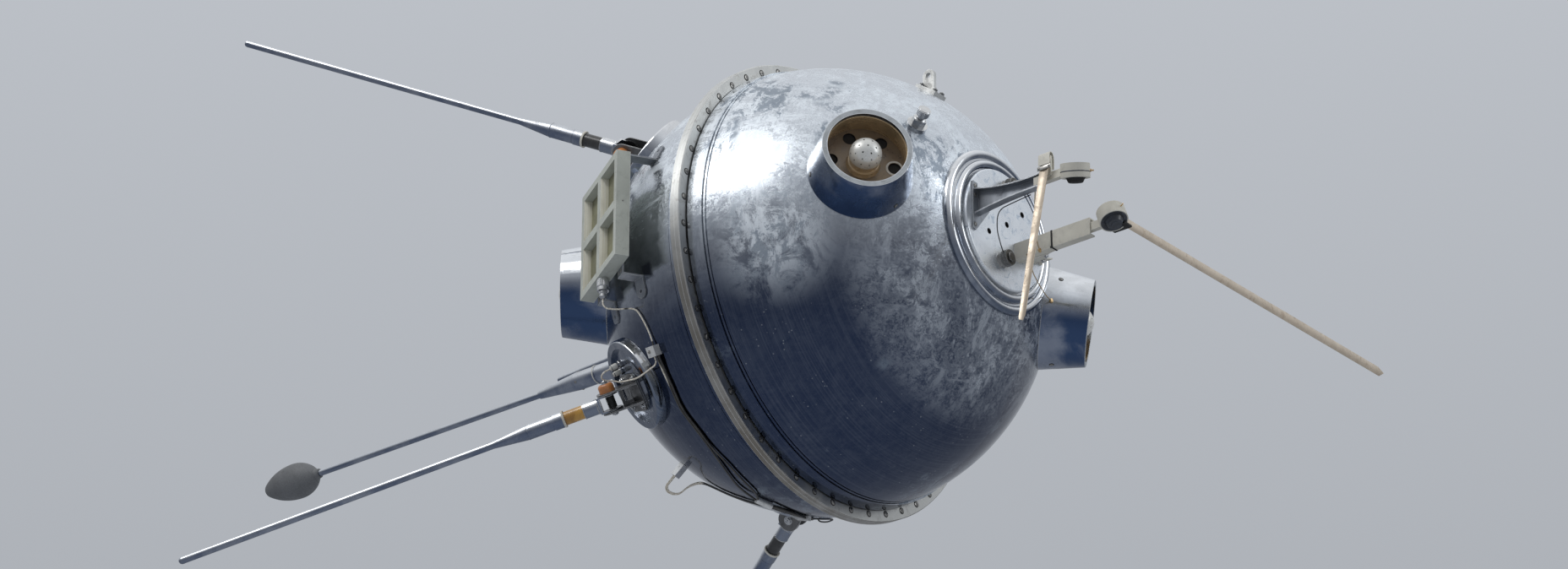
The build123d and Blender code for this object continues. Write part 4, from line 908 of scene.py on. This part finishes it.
def add_cone_details(name, place, first, level):
    """Screws, from a first azimuth on at a level, lining and rim of a trap's cone."""
    foot = shift(trap_skin(level), 0, level) @ turn(90 - TRAP_LEAN, "Y")
    head = slotted_head(0.0036, 0.0012)
    painted_shade_wells = Piece("trap_painted_shade_wells_" + name)
    screws = Piece("trap_screws_" + name)
    for k in range(3):
        spot = place @ turn(first + 120 * k, "Z") @ foot
        # painted shade: a dark ring round each screw for its sunk seat
        painted_shade_wells.turned([(0.0036, 0.0002), (0.0048, 0.0004), (0.005, -0.0003)], spot, 14)
        screws.stamp(head, spot @ turn(40 * k + 20, "Z"))
    painted_shade_wells.done("black_and_painted_shade")
    screws.done("screw")
    low, lip = TRAP_FLOOR, TRAP_RIM - TRAP_GROOVE
    outer_low, outer_lip = trap_bore(low), trap_bore(lip)
    lining = [
        (outer_low, low), (outer_low - LINING_T, low), (outer_lip - LINING_T, lip - 0.001),
        (outer_lip - 0.6 * LINING_T, lip), (outer_lip, lip), (outer_low, low),
    ]
    turned_piece("trap_lining_" + name, "trap_lining", lining, place, 72)
    top = TRAP_RIM + 0.0003
    rim = [(0.074, TRAP_RIM), (0.0742, top), (0.082, top), (0.0822, TRAP_RIM)]
    turned_piece("trap_rim_" + name, "rim_grey", rim, place, 72)


def add_electrode_details(name, place):
    """Collar and pores of a trap's electrode, the pores as dark discs of painted shade, painted shade at
    the bottom of the floor's holes, ring on one of them.
    """
    collar = [(0.0268, 0.4575), (0.029, 0.4572), (0.03, 0.456), (0.0303, 0.449), (0.0318, 0.4464)]
    turned_piece("trap_collar_" + name, "electrode", collar, place, 40)
    # painted shade: the pores are dark discs laid on the dome, not cut into it
    pores = Piece("trap_painted_shade_pores_" + name)
    for out, count in ((0.0, 1), (0.0155, 6)):
        level = DOME_CENTRE + sqrt(DOME_R ** 2 - out ** 2) - 0.003
        for k in range(count):
            spot = place @ turn(360 * k / count, "Z") @ shift(x=out)
            pores.turned([(0, level), (0.0015, level), (0.0015, level + 0.001)], spot, 12)
    mouth = [(0, DOME_R + 0.00015), (0.0011, DOME_R + 0.0001), (0.0014, DOME_R - 0.0001)]
    for tilt, count in ((54, 9), (76, 12)):
        for k in range(count):
            spot = place @ shift(z=DOME_CENTRE) @ turn(360 * k / count + tilt, "Z") @ turn(tilt, "Y")
            pores.turned(mouth, spot, 10)
    pores.done("black_and_painted_shade")
    # painted shade: a dark cup deep in each of the floor's holes
    painted_shade_depths = Piece("trap_painted_shade_depths_" + name)
    deep = TRAP_FLOOR - 0.0045
    for k in range(TRAP_HOLES):
        spot = place @ turn(360 / TRAP_HOLES * k, "Z") @ shift(x=TRAP_HOLE_CIRCLE_R)
        painted_shade_depths.turned([(0, deep), (0.0118, deep), (0.0118, TRAP_FLOOR - 0.0005)], spot, 24)
    painted_shade_depths.done("black_and_painted_shade")
    ring = [(0.0122, 0.0), (0.0122, 0.001), (0.016, 0.0008), (0.0162, 0.0)]
    spot = place @ shift(TRAP_HOLE_CIRCLE_R, 0, TRAP_FLOOR)
    turned_piece("trap_ring_" + name, "white_plug", ring, spot, 28)


def add_valve_and_lugs():
    """Knurled cap and bevelled hexagon of the valve, bolts of the lugs' feet."""
    cap = Piece("valve_cap")
    place = outward(*VALVE_AT, SPHERE_R)
    cap.knurl(0.0125, 0.0285, 0.0395, 30, 0.0006, place)
    cap.turned([(0, 0.0418), (0.0095, 0.0418), (0.0121, 0.0398), (0.0121, 0.039)], place, 30)
    cap.turned([(0.007, 0.0215), (0.01, 0.0205), (0.0115, 0.019)], place, 24)
    cap.done("fitting")
    stamped_piece("lug_bolts", "bracket", hex_bolt(0.0048, 0.005), [
        outward(polar, 90, SPHERE_R + LUG_FOOT_TOP) @ shift(x, y) @ turn(15, "Z")
        for polar in LUG_POLARS for x, y in corners(0.019, 0.0105)
    ])


def add_crown_details():
    """Painted shade inside and round the rims of the plate's holes, grips, rings and bands of its
    connectors.
    """
    # painted shade: a dark disc down in each of the plate's holes and a dark ring round its rim
    painted_shade_depths = Piece("crown_hole_painted_shade")
    for y, z in CROWN_HOLES:
        place = crown_frame(0, y, z)
        painted_shade_depths.turned([(0, -0.0105), (0.0048, -0.0105), (0.0048, -0.0004)], place, 20)
        painted_shade_depths.turned([(0.0048, 0.0003), (0.0057, 0.0003), (0.006, 0.0)], place, 20)
    painted_shade_depths.done("black_and_painted_shade")
    grips = Piece("connector_grips")
    rings = Piece("connector_rings")
    bands = Piece("connector_bands")
    for y, z, radius in CONNECTORS:
        place = crown_frame(0, y, z)
        grips.knurl(radius + 0.0009, 0.0072, 0.0128, 26, 0.0007, place)
        grips.knurl(radius + 0.0007, 0.014, 0.0192, 26, 0.0007, place)
        neck = 0.62 * radius
        rings.turned([(0, 0.0235), (0.5 * radius, 0.0235), (neck, 0.0225), (neck, 0.0198)], place, 20)
        band = [(0.77 * radius, 0.0062), (0.95 * radius, 0.006), (radius, 0.0008), (1.02 * radius, 0.0)]
        bands.turned(band, place, 24)
    grips.done("connector")
    rings.done("connector", sharp=20)
    bands.done("screw")


def add_arm_details():
    """Screws and nuts of the ribbon arms, the cable tie on one of them and the leads' terminals."""
    places = [crown_frame(0.004, y, z) @ turn(1000 * y, "Z") for y, z in ARM_1_SCREWS]
    places += [crown_frame(0.004, y, z) @ turn(50, "Z") for y, z in ARM_2_SCREWS]
    stamped_piece("arm_screws", "screw", slotted_head(0.0042, 0.0022), places)
    tie = Piece("cable_tie")
    band = (CROWN_FACE + 0.083, CROWN_FACE + 0.0866)
    for z in ((-0.0172, -0.0162), (-0.0518, -0.0508)):
        tie.block(band, (0.0285, 0.0455), z, bevel=0.0002)
    for y in ((0.0282, 0.029), (0.045, 0.0458)):
        tie.block(band, y, (-0.0518, -0.0162), bevel=0.0002)
    lock = (CROWN_FACE + 0.0825, CROWN_FACE + 0.0875)
    tie.block(lock, (0.0262, 0.029), (-0.053, -0.049), bevel=0.0004)
    tie.done("black_and_painted_shade")
    terminals = Piece("lead_terminals")
    for x, y, z, sides in ((0.0585, 0.0276, -0.0494, 6), (-0.0165, 0.1665, -0.0758, 12)):
        place = crown_frame(x, y, z)
        terminals.prism(sides, 0.0042, -0.002, 0.002, place, 0.0005)
        terminals.prism(10, 0.0022, -0.004, 0.0045, place @ turn(70, "X"), 0.0004)
    terminals.done("brass")
    stamped_piece("gusset_nuts", "fitting", hex_bolt(0.0042, 0.004), [
        crown_frame(x, y, -0.0512 + (y - 0.045) * 0.388) @ turn(201.2, "Z")
        for x, y in ((0.05, 0.058), (0.02, 0.09))
    ])


def reel_frame(x, y, z, axis):
    """Frame of a ribbon housing, z along its axis."""
    place = Vector(axis).to_track_quat("Z", "Y").to_matrix().to_4x4()
    place.translation = Vector((CROWN_FACE + x, y, z))
    return place


def ribbon(name, start, along, across, length, camber, twist):
    """Spring ribbon with a hollow section, a slow twist and a rounded tip."""
    piece = Piece(name)
    bmesh.ops.create_grid(piece.bm, x_segments=60, y_segments=8, size=0.5)
    for vert in piece.bm.verts:
        reach, side = vert.co.x + 0.5, vert.co.y
        distance = reach * length
        past = max(0.0, distance - (length - RIBBON_W / 2)) / (RIBBON_W / 2)
        side *= sqrt(max(0.0, 1 - past * past))
        vert.co = (distance, side * RIBBON_W, camber * (1 - 4 * side * side))
        vert.co.rotate(Matrix.Rotation(radians(twist) * reach, 3, "X"))
    bmesh.ops.remove_doubles(piece.bm, verts=piece.bm.verts, dist=1e-5)
    bmesh.ops.solidify(piece.bm, geom=piece.bm.faces[:], thickness=RIBBON_T)
    x = Vector(along).normalized()
    z = x.cross(Vector(across)).normalized()
    piece.moved(set(), frame_of(x, z.cross(x), z, Vector(start)))
    return piece


def add_ribbons():
    """Two hollow ribbons, the hooked guide and the clip of the first."""
    first = ribbon(
        "ribbon_1", (0.582, -0.0975, 0.056), (0, -0.24, -0.97), (1, 0, 0),
        length=0.372, camber=-0.0028, twist=18,
    )
    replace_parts(first.done("steel_tape", sharp=60), "ribbon_tape_1")
    second = ribbon(
        "ribbon_2", (0.634, 0.0735, -0.024), (0, 1, 0.02), (0, 0, 1),
        length=0.8795, camber=0.0028, twist=0,
    )
    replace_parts(second.done("steel_tape", sharp=60), "ribbon_tape_2")
    guide = Piece("ribbon_guide_1")
    hook = [
        (-0.0905, 0.03), (-0.09, 0.048), (-0.0908, 0.056), (-0.094, 0.0615),
        (-0.0985, 0.0625), (-0.102, 0.059), (-0.103, 0.05), (-0.1032, 0.038),
    ]
    guide.strip(hook, 0.5695, 0.5945, 0.0012)
    guide.done("cream")
    clip = Piece("ribbon_clip_1")
    clip.block((0.5675, 0.5965), (-0.105, -0.1036), (0.028, 0.036), bevel=0.0004)
    for x in (0.5705, 0.5935):
        clip.stamp(slotted_head(0.0022, 0.0012), frame_of(X, Z, -Y, Vector((x, -0.105, 0.032))))
    clip.done("screw")


def add_reel_details():
    """Hub, seam, stepped face and studs of the ribbon housings, and the dark box below the second."""
    one, two = reel_frame(*REEL_1), reel_frame(*REEL_2)
    hub = [(0, -0.0217), (0.0122, -0.0217), (0.0136, -0.021), (0.0175, -0.0132), (0.0185, -0.0131)]
    turned_piece("reel_hub_1", "black_and_painted_shade", hub, one, 32)
    seam = [(0.027, -0.0035), (0.0273, -0.003), (0.0273, -0.0018), (0.027, -0.0013)]
    turned_piece("reel_seam_1", "reel_face", seam, one, 48)
    studs = Piece("reel_studs")
    studs.prism(10, 0.0016, 0.026, 0.0335, one @ turn(90, "Y"), 0.0003)
    studs.prism(8, 0.003, 0.0262, 0.029, one @ turn(90, "Y"), 0.0004)
    studs.prism(10, 0.0012, 0.026, 0.0345, two @ turn(-90, "X"), 0.0003)
    studs.done("brass")
    face = [
        (0, 0.0225), (0.007, 0.0225), (0.0078, 0.0216), (0.0132, 0.0215), (0.0176, 0.0136), (0.0188, 0.014),
        (0.0196, 0.0133), (0.0212, 0.014), (0.022, 0.0133), (0.0238, 0.0138), (0.025, 0.0131),
    ]
    turned_piece("reel_face_2", "reel_face", face, two, 48)
    box = Piece("reel_box_2")
    box.block((0.6105, 0.649), (0.05, 0.0735), (-0.04, -0.0355), bevel=0.0008)
    box.done("black_and_painted_shade")


def add_panel_details():
    """Liners of the windows, screws of the feet and the connector's knurled nut."""
    place = panel_frame_place()
    liner = Piece("panel_liners")
    w, h = PANEL_WINDOW
    for x, y in corners(*PANEL_WINDOW_AT):
        for side in (-1, 1):
            wall = sorted((side * w / 2, side * (w / 2 - LINER_T)))
            level = (PANEL_FLOOR, PANEL_D / 2 - 0.0006)
            liner.block(wall, (-h / 2, h / 2), level, place @ shift(x, y, 0), 0.0001)
    liner.done("panel_liner")
    head = slotted_head(0.004, 0.0018)
    screws = Piece("panel_screws")
    for x, side in PANEL_FEET:
        for along, angle in ((-0.006, 0), (0.006, 60)):
            spot = shift(x + along, side * (PANEL_H / 2 + 0.009), -PANEL_D / 2 - 0.0002)
            screws.stamp(head, place @ spot @ turn(angle, "Z"))
    screws.stamp(slotted_head(0.0018, 0.0006), place @ shift(PANEL_W / 2, 0.004, 0) @ turn(90, "Y"))
    screws.done("screw")
    nut = Piece("panel_plug_nut")
    down = place @ shift(-0.003, 0, 0.001) @ turn(90, "X")
    nut.knurl(0.0119, 0.1125, 0.1245, 30, 0.0006, down)
    nut.turned([(0.0119, 0.1245), (0.0112, 0.1262), (0.0109, 0.1262)], down, 30)
    nut.prism(6, 0.0082, 0.1335, 0.1395, down, 0.0005)
    nut.turned([(0.0068, 0.1452), (0.0045, 0.148), (0.0022, 0.149)], down, 16)
    nut.done("fitting")


def add_boom_details():
    """Nuts of the boom's flange, the pale joint ring, the taper's screws and the head's seam."""
    stamped_piece("boom_nuts", "bracket", hex_bolt(0.0055, 0.0055), [
        face_frame(360 / BOOM_NUTS * k + 10, BOOM_NUT_CIRCLE_R, SPHERE_R + BOOM_FLANGE_TOP, -1)
        for k in range(BOOM_NUTS)
    ])
    axis = frame_of(Y, -Z, -X, Vector())
    at = SPHERE_R + BOOM_JOINT
    ring = [(0.0188, at - 0.0012), (0.0197, at - 0.0008), (0.0197, at + 0.0008), (0.0188, at + 0.0012)]
    turned_piece("boom_ring", "cream", ring, axis, 48)
    stamped_piece("boom_screws", "screw", slotted_head(0.0026, 0.0014), [
        axis @ turn(90 * k + 60, "Z") @ shift(0.0178, 0, SPHERE_R + BOOM_TAPER) @ turn(90, "Y")
        for k in range(4)
    ])
    at = SPHERE_R + HEAD_BACK
    seam = [(0.0068, at - 0.01), (0.0098, at - 0.009), (0.0112, at - 0.001), (0.0118, at + 0.0004)]
    turned_piece("head_seam", "head_grey", seam, axis, 32)


def add_hinge_details(name):
    """Coil spring, nuts of the pin, bolts of the foot, collars of the insulator and rod."""
    antenna = ANTENNAS[name]
    body = "antenna_" + name
    hinge = hinge_frame(name)
    pin = hinge @ turn(-90 * antenna.side, "X")
    spring = Piece("spring_" + name)
    spring.coil(0.0078, 0.00095, 0.0225, 9, hinge @ turn(90, "X"))
    spring.done("black_and_painted_shade")
    nuts = Piece("pin_nuts_" + name)
    nuts.stamp(hex_bolt(0.0062, 0.0042), pin @ shift(z=PIN_CAP_END - 0.0002))
    nuts.stamp(hex_bolt(0.0068, 0.005), pin @ turn(180, "X") @ shift(z=PIN_END))
    nuts.done("fitting")
    base = outward(PORT_POLAR, antenna.port_roll)
    back = base.inverted() @ hinge @ turn(antenna.splay - BRACKET_SPLAY, "Y")
    near, far = back.translation, back @ Vector((-0.1, 0, 0))
    foot = near.lerp(far, (near.z - SPHERE_R - 0.006) / (near.z - far.z))
    middle = base @ shift(foot.x - 0.012, foot.y, SPHERE_R + BRACKET_FOOT_TOP)
    stamped_piece("foot_bolts_" + name, "fitting", hex_bolt(0.0045, 0.0045), [
        middle @ shift(x, y) @ turn(1700 * x + 1400 * y, "Z") for x, y in corners(0.027, 0.027)
    ])
    rod = hinge @ turn(90, "Y")
    collars = Piece("rod_collars_" + name)
    collars.turned([(0.0146, 0.0525), (0.015, 0.053), (0.015, 0.0545), (0.0132, 0.0548)], rod, 32)
    collars.turned([(0.0146, 0.025), (0.0152, 0.0256), (0.0152, 0.0275), (0.0145, 0.0282)], rod, 32)
    collars.done("fitting", body)
    cup = [(0.0131, 0.0926), (0.016, 0.0918), (0.0166, 0.0928), (0.0163, 0.095), (0.0156, 0.0962)]
    turned_piece("cup_rim_" + name, "cream", cup, rod, 36, body)
    joint = Piece("rod_joint_" + name)
    joint.turned([(0.0147, 0.1645), (0.015, 0.165), (0.015, 0.166), (0.0143, 0.1668)], rod, 32)
    joint.turned([(0.007, 0.8553), (0.0071, 0.854), (0.0069, 0.853)], rod, 16)
    joint.done("boom_grey", body)
    # painted shade: a dark disc on the yoke's end plate for its opening
    painted_shade_disc = [(0, -0.0004), (0.0062, -0.0005), (0.007, 0.0)]
    turned_piece("yoke_hole_painted_shade_" + name, "black_and_painted_shade", painted_shade_disc, hinge @ shift(x=0.02) @ turn(-90, "Y"), 18, body)


def add_wiring_details():
    """White bodies and nuts of the plugs on the ports, screws of the clamp and the block."""
    bodies = Piece("plug_bodies")
    nuts = Piece("plug_nuts")
    for name, antenna in ANTENNAS.items():
        base = outward(PORT_POLAR, antenna.port_roll)
        hinge = base.inverted() @ hinge_frame(name).translation
        for ahead, beside, radius, top in PORT_PLUGS:
            place = base @ shift(hinge.x + ahead, hinge.y - antenna.side * beside, SPHERE_R)
            wide = 1.14 * radius
            body = [
                (0.99 * radius, top - 0.013), (wide, top - 0.012), (wide, top - 0.003),
                (0.8 * radius, top + 0.0012), (0.35 * radius, top + 0.0015),
            ]
            bodies.turned(body, place, 20)
            nuts.prism(6, radius * 1.5, 0.0062, 0.0112, place, 0.0004)
    bodies.done("white_plug")
    nuts.done("fitting")
    stamped_piece("clamp_screws", "screw", slotted_head(0.0034, 0.0016), (
        outward(107.2, -148.6, SPHERE_R + 0.014) @ shift(-0.004, 0.001) @ turn(35, "Z"),
        outward(116.2, -67.8, SPHERE_R + 0.012) @ turn(68, "Z"),
        outward(106.4, -78.6, SPHERE_R + 0.009) @ shift(-0.01) @ turn(35, "Z"),
    ))


add_studio()
make_finishes()
paint_nodes()
add_ring_screws()
for name, (polar, roll, first, level) in TRAPS.items():
    add_cone_details(name, outward(polar, roll), first, level)
    add_electrode_details(name, outward(polar, roll))
add_valve_and_lugs()
add_crown_details()
add_arm_details()
add_ribbons()
add_reel_details()
add_panel_details()
add_boom_details()
for name in ANTENNAS:
    add_hinge_details(name)
add_wiring_details()
